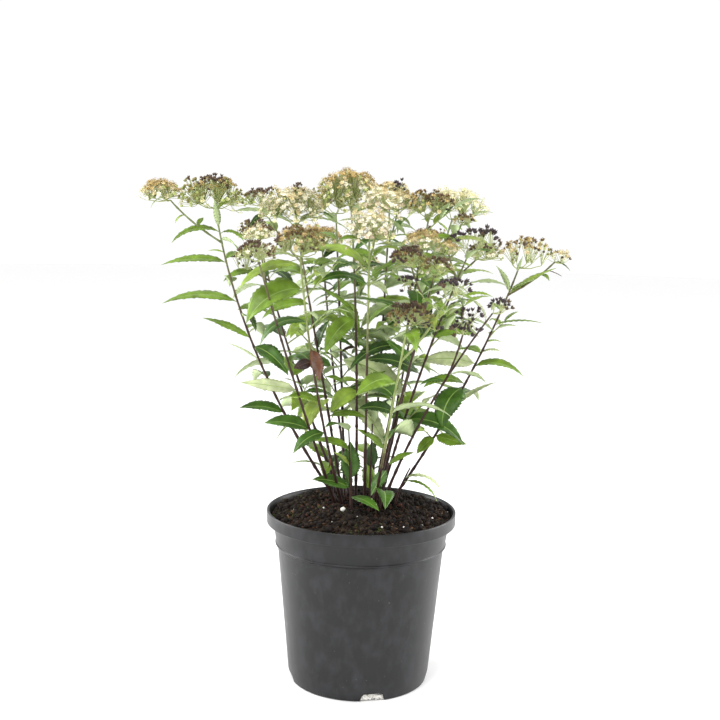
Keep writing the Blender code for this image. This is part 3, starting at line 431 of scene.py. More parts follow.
# How often each of them is dealt out: low in the crown, what that gains towards its top, then on
# sprays and on shoots. Deeper greens fall low in the crown and on the shoots by the compost, fresher
# greens and gold higher up: partly the leaves' own greens, partly painted shade below and painted
# light on the crown's top
LOW_LOOKS = np.array((0.32, 0.10, 0.25, 0.20, 0.02, 0.07))
HIGHER_LOOKS = np.array((0.0, 0.24, 0.0, -0.16, 0.11, 0.0))
SPRAY_LOOKS = (0.34, 0.26, 0.20, 0.07, 0.08, 0.05)
SHOOT_LOOKS = (0.22, 0.02, 0.44, 0.32, 0.0, 0.0)
PEDICEL = ((0.30, 0.36, 0.12), (0.40, 0.45, 0.18), (0.46, 0.46, 0.22))
PLASTIC = (0.0060, 0.0061, 0.0072)
DUST = (0.075, 0.072, 0.068)
BLACK, WHITE = (0.0, 0.0, 0.0), (1.0, 1.0, 1.0)
MOTTLE_RANGE = (0.32, 0.68)
# Limb colours up the plant: (height above the floor, colour), dealt out in steps
LIMB_COLOURS = {
    "bark": ((0.18, (0.026, 0.011, 0.009)), (0.24, (0.036, 0.015, 0.011)), (0.32, (0.050, 0.024, 0.016))),
    "twig": ((0.24, (0.034, 0.014, 0.010)), (0.36, (0.052, 0.029, 0.021)),
             (0.41, (0.12, 0.105, 0.050)), (0.46, (0.200, 0.25, 0.100))),
    "fresh_twig": ((0.24, (0.034, 0.014, 0.010)), (0.33, (0.060, 0.034, 0.022)),
                   (0.37, (0.22, 0.26, 0.09)), (0.46, (0.30, 0.37, 0.13))),
    "green_twig": ((0.22, (0.060, 0.032, 0.022)), (0.28, (0.22, 0.26, 0.09)), (0.46, (0.30, 0.37, 0.13))),
}
LIMB_STEPS = 9
LIMB_RELIEF = {"bark": 0.6}
STEM_FINISHES = {"front_low": "green_twig", "centre_front": "fresh_twig", "left_inner": "fresh_twig"}
SOIL_COLOURS = {
    "peat": ((0.006, 0.004, 0.003), (0.019, 0.012, 0.008), (0.050, 0.030, 0.018)),
    "peat_dark": ((0.004, 0.003, 0.003), (0.009, 0.006, 0.005), (0.018, 0.012, 0.009)),
    "peat_brown": ((0.026, 0.011, 0.008), (0.060, 0.023, 0.015), (0.110, 0.045, 0.028)),
    "moss": ((0.018, 0.022, 0.006), (0.042, 0.050, 0.013), (0.075, 0.085, 0.025)),
    "chip": ((0.035, 0.018, 0.012), (0.095, 0.048, 0.027), (0.210, 0.120, 0.070)),
    "perlite": ((0.74, 0.72, 0.66), (0.94, 0.93, 0.89)),
}

# Crumbs of the compost: how many, and the sizes of the smallest and the largest
CRUMBS = (("peat_dark", 1400, 0.0018, 0.0085), ("peat", 1200, 0.0014, 0.0078),
          ("peat_brown", 620, 0.0012, 0.0054), ("moss", 640, 0.0010, 0.0034),
          ("chip", 260, 0.0030, 0.0075), ("perlite", 14, 0.0010, 0.0022))
# Perlite that stands out on the compost: (x, y, size)
PERLITE = ((-0.037, -0.022, 0.0030), (-0.018, -0.033, 0.0060), (-0.004, -0.049, 0.0032),
           (0.041, -0.066, 0.0036), (0.020, -0.072, 0.0026), (0.070, -0.026, 0.0028),
           (-0.052, 0.004, 0.0024), (0.030, -0.040, 0.0024))
PLUG_CRUMBS = 150
SOIL_RINGS = 44
SOIL_SIDES = 176
RAGGED = (0.78, 1.16)  # how far a crumb's corners stand from its middle
CRUMB_RISE = 0.16  # how high a crumb's middle stands on the compost, as a share of its size
PERLITE_RISE = 0.22
CHIP_STRETCH = ((0.35, 0.55), (0.18, 0.30))
CRUMB_STRETCH = ((0.8, 1.15), (0.7, 1.1), (0.6, 0.95))

# Studio
FLOOR_RADIUS = 6.0
FLOOR_SIDES = 128
FLOOR_COLOUR = (0.93, 0.93, 0.93)
WORLD_STRENGTH = 1.04
LIGHT_AIM = Vector((0.0, 0.0, 0.3))
# Each soft light: place, size and power
LIGHTS = {
    "key": ((-0.9, -1.6, 2.2), 1.2, 36.0),
    "side_left": ((-2.0, 0.5, 0.8), 1.4, 44.0),
    "side_right": ((2.0, 0.5, 0.8), 1.4, 50.0),
}

SEED = 7
FANCY_SEED = 11
HEAD_DRAWS = 33  # that the solids' rule makes for each flower head
# Every material, and by its name the number of each
FINISHES = []
NUMBER = {}


def add_object(name, data):
    """A new object of the scene."""
    made = bpy.data.objects.new(name, data)
    bpy.context.scene.collection.objects.link(made)
    return made


def fill(tree, node, inputs):
    """Give a node its inputs by name, each a value or the output that feeds it."""
    for name, source in inputs.items():
        if isinstance(source, bpy.types.NodeSocket):
            tree.links.new(source, node.inputs[name])
        else:
            node.inputs[name].default_value = source
    return node


def shader_material(name, colour, roughness, specular=0.5):
    """A new node material, its node tree and its shader."""
    made = bpy.data.materials.new(name)
    made.use_nodes = True
    made.diffuse_color = (*colour, 1.0)
    tree = made.node_tree
    shader = fill(tree, tree.nodes["Principled BSDF"], {
        "Base Color": (*colour, 1.0), "Roughness": roughness, "Specular IOR Level": specular})
    return made, tree, shader


def noise_output(tree, place, scale, detail):
    """The value of a 3-D noise."""
    wander = tree.nodes.new("ShaderNodeTexNoise")
    return fill(tree, wander, {"Vector": place, "Scale": scale, "Detail": detail}).outputs["Fac"]


def ramp_output(tree, value, stops):
    """The colour that a value picks from a ramp of stops, each a position and a colour."""
    ramp = fill(tree, tree.nodes.new("ShaderNodeValToRGB"), {"Fac": value})
    elements = ramp.color_ramp.elements
    elements[0].position = stops[0][0]
    elements[1].position = stops[-1][0]
    for position, _ in stops[1:-1]:
        elements.new(position)
    for element, (_, colour) in zip(elements, stops):
        element.color = (*colour, 1.0)
    return ramp.outputs["Color"]


def bump_output(tree, height, strength, distance):
    """Normals roughened by a value."""
    relief = tree.nodes.new("ShaderNodeBump")
    fill(tree, relief, {"Height": height, "Strength": strength, "Distance": distance})
    return relief.outputs["Normal"]


def mottled(name, colours, scale, roughness, bump=0.0, bump_scale=400.0, specular=0.5):
    """A material whose colour wanders between some colours with a 3-D noise."""
    made, tree, shader = shader_material(name, colours[0], roughness, specular)
    place = tree.nodes.new("ShaderNodeTexCoord").outputs["Object"]
    stops = list(zip(np.linspace(*MOTTLE_RANGE, len(colours)), colours))
    fill(tree, shader, {"Base Color": ramp_output(tree, noise_output(tree, place, scale, 4.0), stops)})
    if bump:
        grain = noise_output(tree, place, bump_scale, 3.0)
        fill(tree, shader, {"Normal": bump_output(tree, grain, bump, 0.0006)})
    return made


def plastic_finish():
    """Satin charcoal plastic, streaked and scuffed, with a little dust."""
    made, tree, shader = shader_material("plastic", PLASTIC, 0.40, 0.40)
    place = tree.nodes.new("ShaderNodeTexCoord").outputs["Object"]
    drawn = fill(tree, tree.nodes.new("ShaderNodeMapping"), {"Vector": place, "Scale": (1.0, 1.0, 0.60)})
    cloud = noise_output(tree, drawn.outputs["Vector"], 90.0, 5.0)
    grain = noise_output(tree, place, 300.0, 2.0)
    dark, _, light = tones(PLASTIC, 0.70, 3.00)
    dusty = tree.nodes.new("ShaderNodeMix")
    dusty.data_type = "RGBA"
    fill(tree, dusty, {"Factor": ramp_output(tree, grain, ((0.73, BLACK), (0.80, WHITE))),
                       "A": ramp_output(tree, cloud, ((0.44, dark), (0.74, light))), "B": (*DUST, 1.0)})
    rough = fill(tree, tree.nodes.new("ShaderNodeMapRange"), {"Value": cloud, "To Min": 0.26, "To Max": 0.52})
    fill(tree, shader, {"Base Color": dusty.outputs["Result"], "Roughness": rough.outputs["Result"],
                        "Normal": bump_output(tree, grain, 0.10, 0.0004)})
    return made


def tones(colour, dark, light):
    """A colour between a darker and a lighter one."""
    return tuple(tuple(min(1.0, part * factor) for part in colour) for factor in (dark, 1.0, light))


def keep(finish):
    """Number a material."""
    NUMBER[finish.name] = len(FINISHES)
    FINISHES.append(finish)


def make_finishes():
    """Every material, numbered in this order."""
    for name, colour in LEAF_TOPS.items():
        keep(mottled(name, tones(colour, 0.60, 1.42), scale=70.0, roughness=0.36, bump=0.35,
                     bump_scale=520.0, specular=0.32))
    keep(mottled("leaf_under", tones(LEAF_UNDER, 0.8, 1.1), scale=60.0, roughness=0.62, bump=0.3,
                 bump_scale=520.0))
    keep(mottled("leaf_rib", tones(LEAF_RIB, 0.85, 1.1), scale=60.0, roughness=0.5))
    keep(mottled("dead_under", tones(DEAD_UNDER, 1.0, 1.6)[1:], scale=90.0, roughness=0.7, bump=0.5,
                 bump_scale=420.0))
    for limb, stops in LIMB_COLOURS.items():
        heights, colours = zip(*stops)
        for step in range(LIMB_STEPS):
            height = heights[0] + (heights[-1] - heights[0]) * (step + 0.5) / LIMB_STEPS
            colour = [float(np.interp(height, heights, channel)) for channel in zip(*colours)]
            keep(mottled(f"{limb}_{step}", tones(colour, 0.72, 1.3), scale=160.0, roughness=0.5,
                         bump=LIMB_RELIEF.get(limb, 0.25), bump_scale=900.0, specular=0.25))
    keep(mottled("pedicel", PEDICEL, scale=120.0, roughness=0.55))
    for palette, colours in PALETTES.items():
        for part, colour in zip(("petal", "thread", "anther", "pod"), colours):
            keep(mottled(f"{palette}_{part}", tones(colour, 0.62, 1.35), scale=260.0, roughness=0.6,
                         bump=0.25, bump_scale=900.0))
    for name, colours in SOIL_COLOURS.items():
        keep(mottled(name, colours, scale=300.0, roughness=0.9, bump=0.6, bump_scale=1400.0, specular=0.2))
    keep(plastic_finish())
    keep(shader_material("floor", FLOOR_COLOUR, 0.8, 0.2)[0])


class Pile:
    """Many small shapes gathered into one mesh."""

    def __init__(self):
        self.corners, self.loops, self.sizes, self.slots = [], [], [], []
        self.count = 0

    def add(self, corners, *groups):
        """Add corners (n, 3), and groups of faces (m, k) with a material number or numbers."""
        for faces, slots in groups:
            faces = np.asarray(faces)
            self.loops.append((faces + self.count).ravel())
            self.sizes.append(np.full(len(faces), faces.shape[1]))
            self.slots.append(np.broadcast_to(slots, len(faces)))
        self.corners.append(np.asarray(corners, np.float32))
        self.count += len(corners)

    def copies(self, corners, faces, slots, turns, sizes, places):
        """Add a shape many times, each turned, scaled and moved."""
        spread = np.einsum("nij,kj->nki", turns, corners) * np.asarray(sizes)[:, None, None]
        spread = spread + np.asarray(places)[:, None, :]
        faces = np.asarray(faces)
        steps = np.arange(len(places)) * len(corners)
        many = (faces[None] + steps[:, None, None]).reshape(-1, faces.shape[1])
        dealt = np.tile(np.broadcast_to(slots, len(faces)), len(places))
        self.add(spread.reshape(-1, 3), (many, dealt))

    def object(self, name):
        """The gathered mesh as an object of the scene."""
        corners, loops = np.concatenate(self.corners), np.concatenate(self.loops)
        sizes = np.concatenate(self.sizes)
        used, slots = np.unique(np.concatenate(self.slots), return_inverse=True)
        mesh = bpy.data.meshes.new(name)
        mesh.vertices.add(len(corners))
        mesh.vertices.foreach_set("co", corners.ravel())
        mesh.loops.add(len(loops))
        mesh.loops.foreach_set("vertex_index", loops.astype(np.int32))
        mesh.polygons.add(len(sizes))
        starts = np.concatenate(([0], np.cumsum(sizes)[:-1]))
        mesh.polygons.foreach_set("loop_start", starts.astype(np.int32))
        mesh.polygons.foreach_set("material_index", slots.astype(np.int32))
        mesh.update(calc_edges=True)
        for number in used:
            mesh.materials.append(FINISHES[number])
        mesh.shade_smooth()
        return add_object(name, mesh)


def unit(vector):
    """A vector of length one."""
    return vector / max(np.linalg.norm(vector), 1e-9)


def ring_quads(sides, rows):
    """Quads between rings of corners that follow one another."""
    low = np.arange(sides)
    after = (low + 1) % sides
    ring = np.stack((low, after, after + sides, low + sides), axis=1)
    return (ring[None] + (np.arange(rows) * sides)[:, None, None]).reshape(-1, 4)


def direction(turn, lean):
    """Unit vectors from their turns about the Z axis and their leans above the floor."""
    flat = np.cos(lean)
    return np.stack((np.cos(turn) * flat, np.sin(turn) * flat, np.sin(lean)), axis=-1)


def tube(points, radii, sides):
    """Corners and quads of an open-ended limb along a path."""
    points = np.asarray(points, float)
    radii = np.asarray(radii, float)
    if radii.ndim == 1:
        radii = np.repeat(radii[:, None], sides, axis=1)
    along = np.gradient(points, axis=0)
    along /= np.linalg.norm(along, axis=1)[:, None]
    across = np.array((1.0, 0.0, 0.0))
    turns = math.tau * np.arange(sides)[:, None] / sides
    rings = []
    for point, ahead, radius in zip(points, along, radii):
        across = unit(across - ahead * np.dot(across, ahead))
        beside = np.cross(ahead, across)
        rings.append(point + radius[:, None] * (np.cos(turns) * across + np.sin(turns) * beside))
    return np.concatenate(rings), ring_quads(sides, len(points) - 1)


def cap(sides, first, point):
    """Triangles from a ring to one closing point."""
    low = np.arange(sides)
    return np.stack((first + low, first + (low + 1) % sides, np.full(sides, point)), axis=1)


def cane_path(foot, bow, head):
    """A cane's path as a function of the share of its length."""
    base, tip = np.array((*foot, SOIL_LEVEL + GAP)), np.array(head[:3])
    outwards = unit((tip - base) * (1.0, 1.0, 0.0))
    return lambda share: base + (tip - base) * share + outwards * bow * 4.0 * share * (1.0 - share)


def reaches(points):
    """How far along a path each of its points lies."""
    return np.concatenate(([0.0], np.cumsum(np.linalg.norm(np.diff(points, axis=0), axis=1))))


def walk(path, start, end, step):
    """Shares of a path from start to end that lie one step apart."""
    shares = np.linspace(start, end, 80)
    reach = reaches([path(share) for share in shares])
    return [float(np.interp(distance, reach, shares)) for distance in np.arange(0.0, reach[-1], step)]


def short_of_tip(path, distance):
    """The share of a path that lies a distance short of its tip."""
    return 1.0 - distance / np.linalg.norm(path(1.0) - path(0.0))


def twig_path(path, main_head, head):
    """The path of a side twig that leaves a cane below its tip."""
    tip = np.array(head[:3])
    apart = np.linalg.norm(tip - np.array(main_head[:3]))
    fork = path(short_of_tip(path, min(max(apart * FORK_REACH, FORK_RANGE[0]), FORK_RANGE[1])))
    middle = fork + (tip - fork) * TWIG_ARCH
    return lambda share: (1 - share) ** 2 * fork + 2 * share * (1 - share) * middle + share ** 2 * tip


def cane_stems(name, plan):
    """The leafy stems of a cane, its own first: the label, path and flower head of each."""
    foot, bow, _, heads = plan
    path = cane_path(foot, bow, heads[0])
    twigs = [(name + "_twig", twig_path(path, heads[0], head), head) for head in heads[1:]]
    return [(name, path, heads[0])] + twigs


def shoot_path(foot, turn, lean, height):
    """The path of a short shoot."""
    out = direction(math.radians(turn), 0.0)
    base = np.array((*foot, SOIL_LEVEL + GAP))
    return lambda share: base + out * lean * share ** SHOOT_CURVE + UP * height * share


def stem_leaves(path, start, phase, size, chance):
    """Rule for the leaves along one stem, as arguments of grow_leaf()."""
    shares = walk(path, start, 1.0, LEAF_SPACING / 4.0)
    first, spacing, last = (int(round(4.0 * reach / LEAF_SPACING)) for reach in
                            (FIRST_LEAF, LEAF_SPACING, LEAF_END))
    placed = shares[first:max(len(shares) - last, first + 1):spacing]
    leaves = []
    for number, share in enumerate(placed):
        height = (share - start) / (1.0 - start)
        shrink = 1.0 - LEAF_SHRINK[1] * max(0.0, height - LEAF_SHRINK[0]) / (1.0 - LEAF_SHRINK[0])
        length = LEAF_LENGTH * size * shrink * chance.uniform(*LEAF_RANGE)
        turn = phase + number * SPIRAL + chance.uniform(-LEAF_SWAY, LEAF_SWAY)
        rise = math.radians(chance.uniform(*LEAF_RISE) + LEAF_LIFT * height)
        bend = math.radians(chance.uniform(*LEAF_BEND))
        roll = math.radians(chance.uniform(*LEAF_ROLL))
        leaves.append((path(share), turn, rise, length, bend, roll))
    return leaves


def seen_leaves(stem, path):
    """The leaves of one stem that stand out in view, as arguments of grow_leaf()."""
    leaves = []
    for share, turn, rise, length, bend, roll, look, broad in SEEN_LEAVES.get(stem, ()):
        turn, rise, bend, roll = (math.radians(angle) for angle in (turn, rise, bend, roll))
        leaves.append((path(share), turn, rise, length, bend, roll, "leaf_" + look, broad))
    return leaves


def every_seen():
    """The seen leaves of all canes, twigs and shoots."""
    leaves = []
    for name, plan in CANES.items():
        for label, path, _ in cane_stems(name, plan):
            leaves += seen_leaves(label, path)
    for name, plan in SHOOTS.items():
        leaves += seen_leaves("shoot_" + name, shoot_path(*plan))
    return leaves


def dead_plans():
    """The dead leaves, as the plans of leaves that stand out in view."""
    return [(np.array(root), math.radians(turn), math.radians(rise), length, math.radians(bend))
            for root, turn, rise, length, bend, *_ in DEAD_LEAVES]


def line_in_view(plan):
    """Places along a leaf's midrib, as seen: across, up, and how far away."""
    place, turn, rise, length, bend = plan[:5]
    line = []
    for step in range(LINE_STEPS):
        lean = rise - bend * (step + 0.5) / LINE_STEPS
        place = place + direction(turn, lean) * length / LINE_STEPS
        across, away, up = place - VIEW_PLACE
        line.append((across / away, up / away, away))
    return np.array(line)


def hides(plan, seen_lines):
    """True when a leaf stands before one of those that stand out in view."""
    own = line_in_view(plan)
    apart = np.linalg.norm(own[:, None, :2] - seen_lines[None, :, :2], axis=2)
    before = own[:, None, 2] < seen_lines[None, :, 2]
    return (before & (apart < SEEN_CLEAR)).sum() >= HIDING_STEPS


def spaced(leaves, seen, seen_lines):
    """The leaves of the rule that keep clear of the seen ones."""
    return [plan for plan in leaves if not hides(plan, seen_lines)
            and all(np.linalg.norm(plan[0] - other[0]) > SEEN_ROOM for other in seen)]


def leaf_outline(share):
    """Half width of the blade, as a share of its widest, along its length."""
    blade = np.clip((share - LEAF_STALK) / (1.0 - LEAF_STALK), 0.0, 1.0)
    widest = BLADE_FOOT / (BLADE_FOOT + BLADE_TIP)
    curve = blade ** BLADE_FOOT * (1.0 - blade) ** BLADE_TIP
    return curve / (widest ** BLADE_FOOT * (1.0 - widest) ** BLADE_TIP)


def grow_leaf(pile, root, turn, rise, length, bend, roll, look, chance, broad=1.0, wild=1.0):
    """Add one toothed, folded and arching leaf, closed at both ends.

    Wild is how far it sways and twists out of the plan's turn and roll.
    """
    share = np.linspace(0.0, 1.0, LEAF_ROWS + 1)
    sway = chance.uniform(*WILD_SWAY) * wild
    twist = chance.uniform(*WILD_TWIST) * wild
    heading = turn + sway * share ** 1.5
    along = direction(heading, rise - bend * share)
    middle = np.vstack((along[:1], (along[1:] + along[:-1]) / 2.0))
    centre = np.asarray(root) + np.cumsum(middle * np.diff(share, prepend=0.0)[:, None] * length, axis=0)
    side = np.stack((-np.sin(heading), np.cos(heading), np.zeros_like(heading)), axis=1)
    normal = np.cross(along, side)
    angle = (roll + twist * share)[:, None]
    edge = side * np.cos(angle) + normal * np.sin(angle)
    face = normal * np.cos(angle) - side * np.sin(angle)

    width = LEAF_WIDTH * length / LEAF_LENGTH * chance.uniform(*WIDTH_RANGE) * broad
    half = leaf_outline(share) * width / 2.0
    teeth = np.where(np.arange(LEAF_ROWS + 1) % 2, 1.0, -1.0) * (share > TEETH[0]) * (share < TEETH[1])
    fold = chance.uniform(*FOLD_RANGE)
    wave = chance.uniform(*WAVE_RANGE)
    phase = chance.uniform(0.0, 6.28)
    corners = []
    for column in LEAF_COLUMNS:
        size = abs(column)
        reach = np.maximum(half * size, STALK_RADIUS * (0.35 + 0.65 * size))
        if size == 1.0:
            reach = reach * (1.0 + teeth * TOOTH_DEPTH)
        lift = half * (fold * size - 0.28 * size ** 2)
        lift = lift + half * wave * size * np.sin(14.0 * share + phase + (3.0 if column > 0 else 0.0))
        vein = np.cos(math.tau * (LEAF_VEINS * share - 0.9 * size)) * np.minimum(half / (0.3 * width), 1.0)
        lift = lift - VEIN_RELIEF * vein * (size > 0.1)
        corners.append(centre + edge * (np.sign(column) * reach)[:, None] + face * lift[:, None])
    thick = np.where(share < LEAF_STALK * 1.6, 2.2, 1.0) * LEAF_THICK
    corners.append(centre - face * thick[:, None])
    corners = np.stack(corners, axis=1)[:-1].reshape(-1, 3)

    columns, tip = len(LEAF_COLUMNS) + 1, len(corners)
    quads = ring_quads(columns, LEAF_ROWS - 1)[:, (0, 3, 2, 1)]
    tips = cap(columns, tip - columns, tip)[:, (0, 2, 1)]
    foot = np.array([(0, column, column + 1) for column in range(1, columns - 1)])
    top, rib, under = NUMBER[look], NUMBER["leaf_rib"], NUMBER["leaf_under"]
    if look in ("leaf_dead", "leaf_burnt"):
        rib = under = NUMBER["dead_under"]
    strip = np.array((top, top, top, rib, top, top, top, under, under))
    pile.add(np.vstack((corners, centre[-1:])), (quads, np.tile(strip, LEAF_ROWS - 1)),
             (tips, strip), (foot, under))


def spun(turn, tilt=0.0, twist=0.0):
    """A turning matrix: twist about Z, tilt about Y, then turn about Z."""
    turning = Matrix.Rotation(turn, 3, "Z") @ Matrix.Rotation(tilt, 3, "Y") @ Matrix.Rotation(twist, 3, "Z")
    return np.array(turning)


def joined(parts):
    """One shape of several: each is (corners, faces, slot, matrix, place)."""
    corners, faces, slots = [], [], []
    count = 0
    for shape, sides, slot, turning, place in parts:
        corners.append(shape @ turning.T + np.asarray(place))
        faces.extend(tuple(count + index for index in side) for side in sides)
        slots.extend([slot] * len(sides))
        count += len(shape)
    return np.concatenate(corners), np.array(faces), np.array(slots)


def stamen_shape(turn, tilt, length):
    """A thin thread that ends in an anther, as joined() parts."""
    thread = np.array(((-0.035, 0.0, 0.0), (0.035, 0.0, 0.0), (0.0, 0.0, length)))
    bead = np.array(((0.08, 0.0, 0.04), (-0.04, 0.07, 0.04), (-0.04, -0.07, 0.04), (0.0, 0.0, -0.07)))
    bead = bead + np.array((0.0, 0.0, length))
    sides = ((0, 1, 2), (1, 0, 3), (2, 1, 3), (0, 2, 3))
    turning = spun(turn, tilt)
    return [(thread, ((0, 1, 2),), "thread", turning, (0, 0, 0)), (bead, sides, "anther", turning, (0, 0, 0))]


def floret_shapes(chance):
    """Some versions of each sort of floret, about one unit across, each as (corners, faces, slots)."""
    shapes = {sort: [] for sort in (*FLORETS, "bud")}
    for version in range(FLORET_VERSIONS):
        for sort, (part, shape, rise, sway, size, sizes, tilts, stamens) in FLORETS.items():
            parts = []
            for step in range(5):
                turn = step * math.tau / 5 + chance.uniform(-sway, sway)
                grown = shape[0] * (size * chance.uniform(*sizes))
                parts.append((grown, shape[1], part, spun(turn, chance.uniform(*tilts)), (0, 0, rise)))
                if sort == "spent":
                    parts.append((POD[0] * 0.42, POD[1], "pod", spun(turn + 0.5, 0.1), (0, 0, 0)))
            count, stamen_sway, stamen_tilts, lengths = stamens
            for step in range(count):
                turn = step * 2.4 + chance.uniform(-stamen_sway, stamen_sway)
                parts += stamen_shape(turn, chance.uniform(*stamen_tilts), chance.uniform(*lengths))
            shapes[sort].append(joined(parts))
        shapes["bud"].append(joined([(*BUD, "petal", spun(version), (0, 0, 0))]))
    return shapes


def dome_places(radius, depth, chance):
    """Places and outward directions of florets over a lumpy dome, on a golden spiral."""
    height = radius * HEAD_FLATNESS
    count = max(9, int(1.55 * math.pi * radius ** 2 / FLORET_SPACING ** 2))
    seed = chance.uniform(0.0, 50.0)
    places, facings = [], []
    for number in range(count):
        share = math.sqrt((number + 0.5) / count)
        turn = number * GOLDEN_TURN + chance.uniform(-0.25, 0.25)
        across = np.array((math.cos(turn), math.sin(turn)))
        edge = 1.0 + HEAD_EDGE * noise.noise(Vector((*(across * 1.6), seed)))
        x, y = across * radius * share * edge * 0.96
        level = height * (math.sqrt(max(0.0, 1.0 - 0.86 * share ** 2)) - 0.30)
        level -= height * 0.55 * max(0.0, share - 0.75) / 0.25
        level += HEAD_LUMPS * radius * noise.noise(Vector((x, y, seed)) * 2.4 / radius)
        level -= depth * radius * chance.random() ** 1.8
        places.append((x, y, level))
        facings.append((turn, 1.15 * share ** 1.6))
    return np.array(places), facings


def head_hubs(centre, radius):
    """Where the rays of a flower head end and its pedicels begin."""
    count = max(4, int(round(radius / HUB_SPACING)))
    hubs = []
    for number in range(count):
        share = math.sqrt((number + 0.35) / count)
        out = direction(number * GOLDEN_TURN + 0.4, 0.0) * radius * 0.66 * share
        hubs.append(centre + out - UP * radius * (0.38 + 0.22 * share) * 0.9)
    return np.array(hubs)


def build_head(head, start, florets, pile, stalks, chance):
    """One flower head: rays from the stem, pedicels and florets on a dome."""
    centre, radius = np.array(head[:3]), head[3] * HEAD_SPREAD
    fullness, grain, depth, blend = HEAD_KINDS[head[4]]
    places, facings = dome_places(radius, depth, chance)
    kept = [index for index in range(len(places)) if chance.random() < fullness]
    places, facings = places[kept] + centre, [facings[index] for index in kept]
    hubs = head_hubs(centre, radius)
    for hub in hubs:
        middle = start * 0.5 + hub * 0.5 - UP * 0.06 * radius
        corners, quads = tube((start, middle, hub), RAY_RADII, 4)
        stalks.add(corners, (quads, NUMBER["pedicel"]))
    nearest = np.argmin(np.linalg.norm((places[:, None] - hubs[None]) * (1.0, 1.0, 0.4), axis=2), axis=1)
    for place, (turn, tilt), hub in zip(places, facings, hubs[nearest]):
        foot = place - direction(turn, math.pi / 2 - tilt) * 0.0015
        middle = hub * 0.45 + foot * 0.55 - UP * 0.0004
        corners, quads = tube((hub, middle, place), PEDICEL_RADII, 3)
        stalks.add(corners, (quads, NUMBER["pedicel"]))
    lots = [0.16 * chance.random() + 0.42 * noise.noise(Vector(place) * 95.0)
            + 0.55 * (centre[2] - place[2]) / radius for place in places]
    shares = np.cumsum([share for *_, share in blend])
    order = np.argsort(np.argsort(lots)) / len(lots) * shares[-1]
    dealt = np.searchsorted(shares, order, side="right")
    for sort, (shape, palette, _) in enumerate(blend):
        for version in range(FLORET_VERSIONS):
            chosen = [index for index, kind in enumerate(dealt)
                      if kind == sort and index % FLORET_VERSIONS == version]
            if not chosen:
                continue
            corners, faces, parts = florets[shape][version]
            slots = np.array([NUMBER[f"{palette}_{part}"] for part in parts])
            turns = [spun(facings[index][0], facings[index][1] * chance.uniform(0.8, 1.2),
                          chance.uniform(0.0, 6.28)) for index in chosen]
            sizes = [chance.uniform(*FLORET_SIZES) * grain for _ in chosen]
            pile.copies(corners, faces, slots, np.array(turns), sizes, places[chosen])


def limb_slots(finish, heights):
    """The numbers of a limb's materials at these heights above the floor."""
    low, high = LIMB_COLOURS[finish][0][0], LIMB_COLOURS[finish][-1][0]
    steps = np.clip((heights - low) / (high - low) * LIMB_STEPS, 0, LIMB_STEPS - 1).astype(int)
    return NUMBER[finish + "_0"] + steps


def bark_limb(pile, path, start, end, low_radius, tip_radius, nodes, sides, chance, finish="twig"):
    """A limb with bark relief: lengthwise ridges, and a swelling at each bud."""
    steps = max(6, int(np.linalg.norm(path(end) - path(start)) / LIMB_STEP))
    shares = np.linspace(start, end, steps + 1)
    points = np.array([path(share) for share in shares])
    reach = reaches(points)
    radii = low_radius + (tip_radius - low_radius) * (shares - start) / (end - start)
    ridge = np.array([chance.uniform(0.93, 1.07) for _ in range(sides)])
    grain = np.array([[chance.uniform(0.95, 1.05) for _ in range(sides)] for _ in shares])
    swell = np.ones(len(shares))
    for node in nodes:
        if start <= node <= end:
            swell += BUD_SWELL * np.exp(-((reach - np.interp(node, shares, reach)) / BUD_LENGTH) ** 2)
    corners, quads = tube(points, radii[:, None] * ridge * grain * swell[:, None], sides)
    tip = points[-1] + unit(points[-1] - points[-2]) * tip_radius * 0.5
    slots, count = limb_slots(finish, points[:, 2]), len(corners)
    top_end, low_end = cap(sides, count - sides, count), cap(sides, 0, count + 1)[:, ::-1]
    pile.add(np.vstack((corners, tip, points[0])), (quads, np.repeat(slots[:-1], sides)),
             (top_end, slots[-1]), (low_end, slots[0]))


def deal_look(chance, height):
    """The look of a leaf's upper side: deeper greens lower down, partly painted shade, and fresher ones
    above, partly painted light.
    """
    return chance.choices(FRESH_LOOKS, (LOW_LOOKS + HIGHER_LOOKS * height).tolist())[0]


def leaf_height(root):
    """How high a leaf stands in the crown, from 0 at its lowest to 1 at its top."""
    return min(1.0, max(0.0, (root[2] - 0.25) / 0.20))


def grow_spray(path, share, turn, leaves_pile, twig_pile, size, fancy, seen_lines):
    """A leafy side twiglet in the axil of a leaf."""
    root = path(share)
    out = direction(turn, 0.0)
    length = SPRAY_LENGTH * size * fancy.uniform(0.65, 1.15)
    rise = fancy.uniform(0.55, 1.0)

    def sprig(part):
        return root + out * length * SPRAY_OUT * part + UP * length * rise * (part - SPRAY_DROOP * part ** 2)

    leaves = []
    for number in range(SPRAY_LEAVES):
        blade = LEAF_LENGTH * SPRAY_LEAF_SIZE * size * fancy.uniform(0.7, 1.1)
        spin = turn + (0.0 if number == 0 else (number % 2 * 2 - 1) * fancy.uniform(0.9, 1.5))
        lean = math.radians(fancy.uniform(10.0, 55.0))
        bend = math.radians(fancy.uniform(35.0, 80.0))
        leaves.append((sprig(1.0 - 0.24 * number), spin, lean, blade, bend))
    leaves = [plan for plan in leaves if not hides(plan, seen_lines)]
    if len(leaves) < SPRAY_FEWEST:
        return
    bark_limb(twig_pile, sprig, 0.0, 1.0, *SPRAY_RADII, (), SPRAY_SIDES, fancy, "green_twig")
    for plan in leaves:
        look = fancy.choices(FRESH_LOOKS, SPRAY_LOOKS)[0]
        grow_leaf(leaves_pile, *plan, fancy.uniform(-0.5, 0.5), look, fancy)


def grow_seen(pile, seen, fancy):
    """Add the leaves that stand out in view."""
    for root, turn, rise, length, bend, roll, look, broad in seen:
        grow_leaf(pile, root, turn, rise, length, bend, roll, look, fancy, broad * SEEN_BROAD, SEEN_WILD)


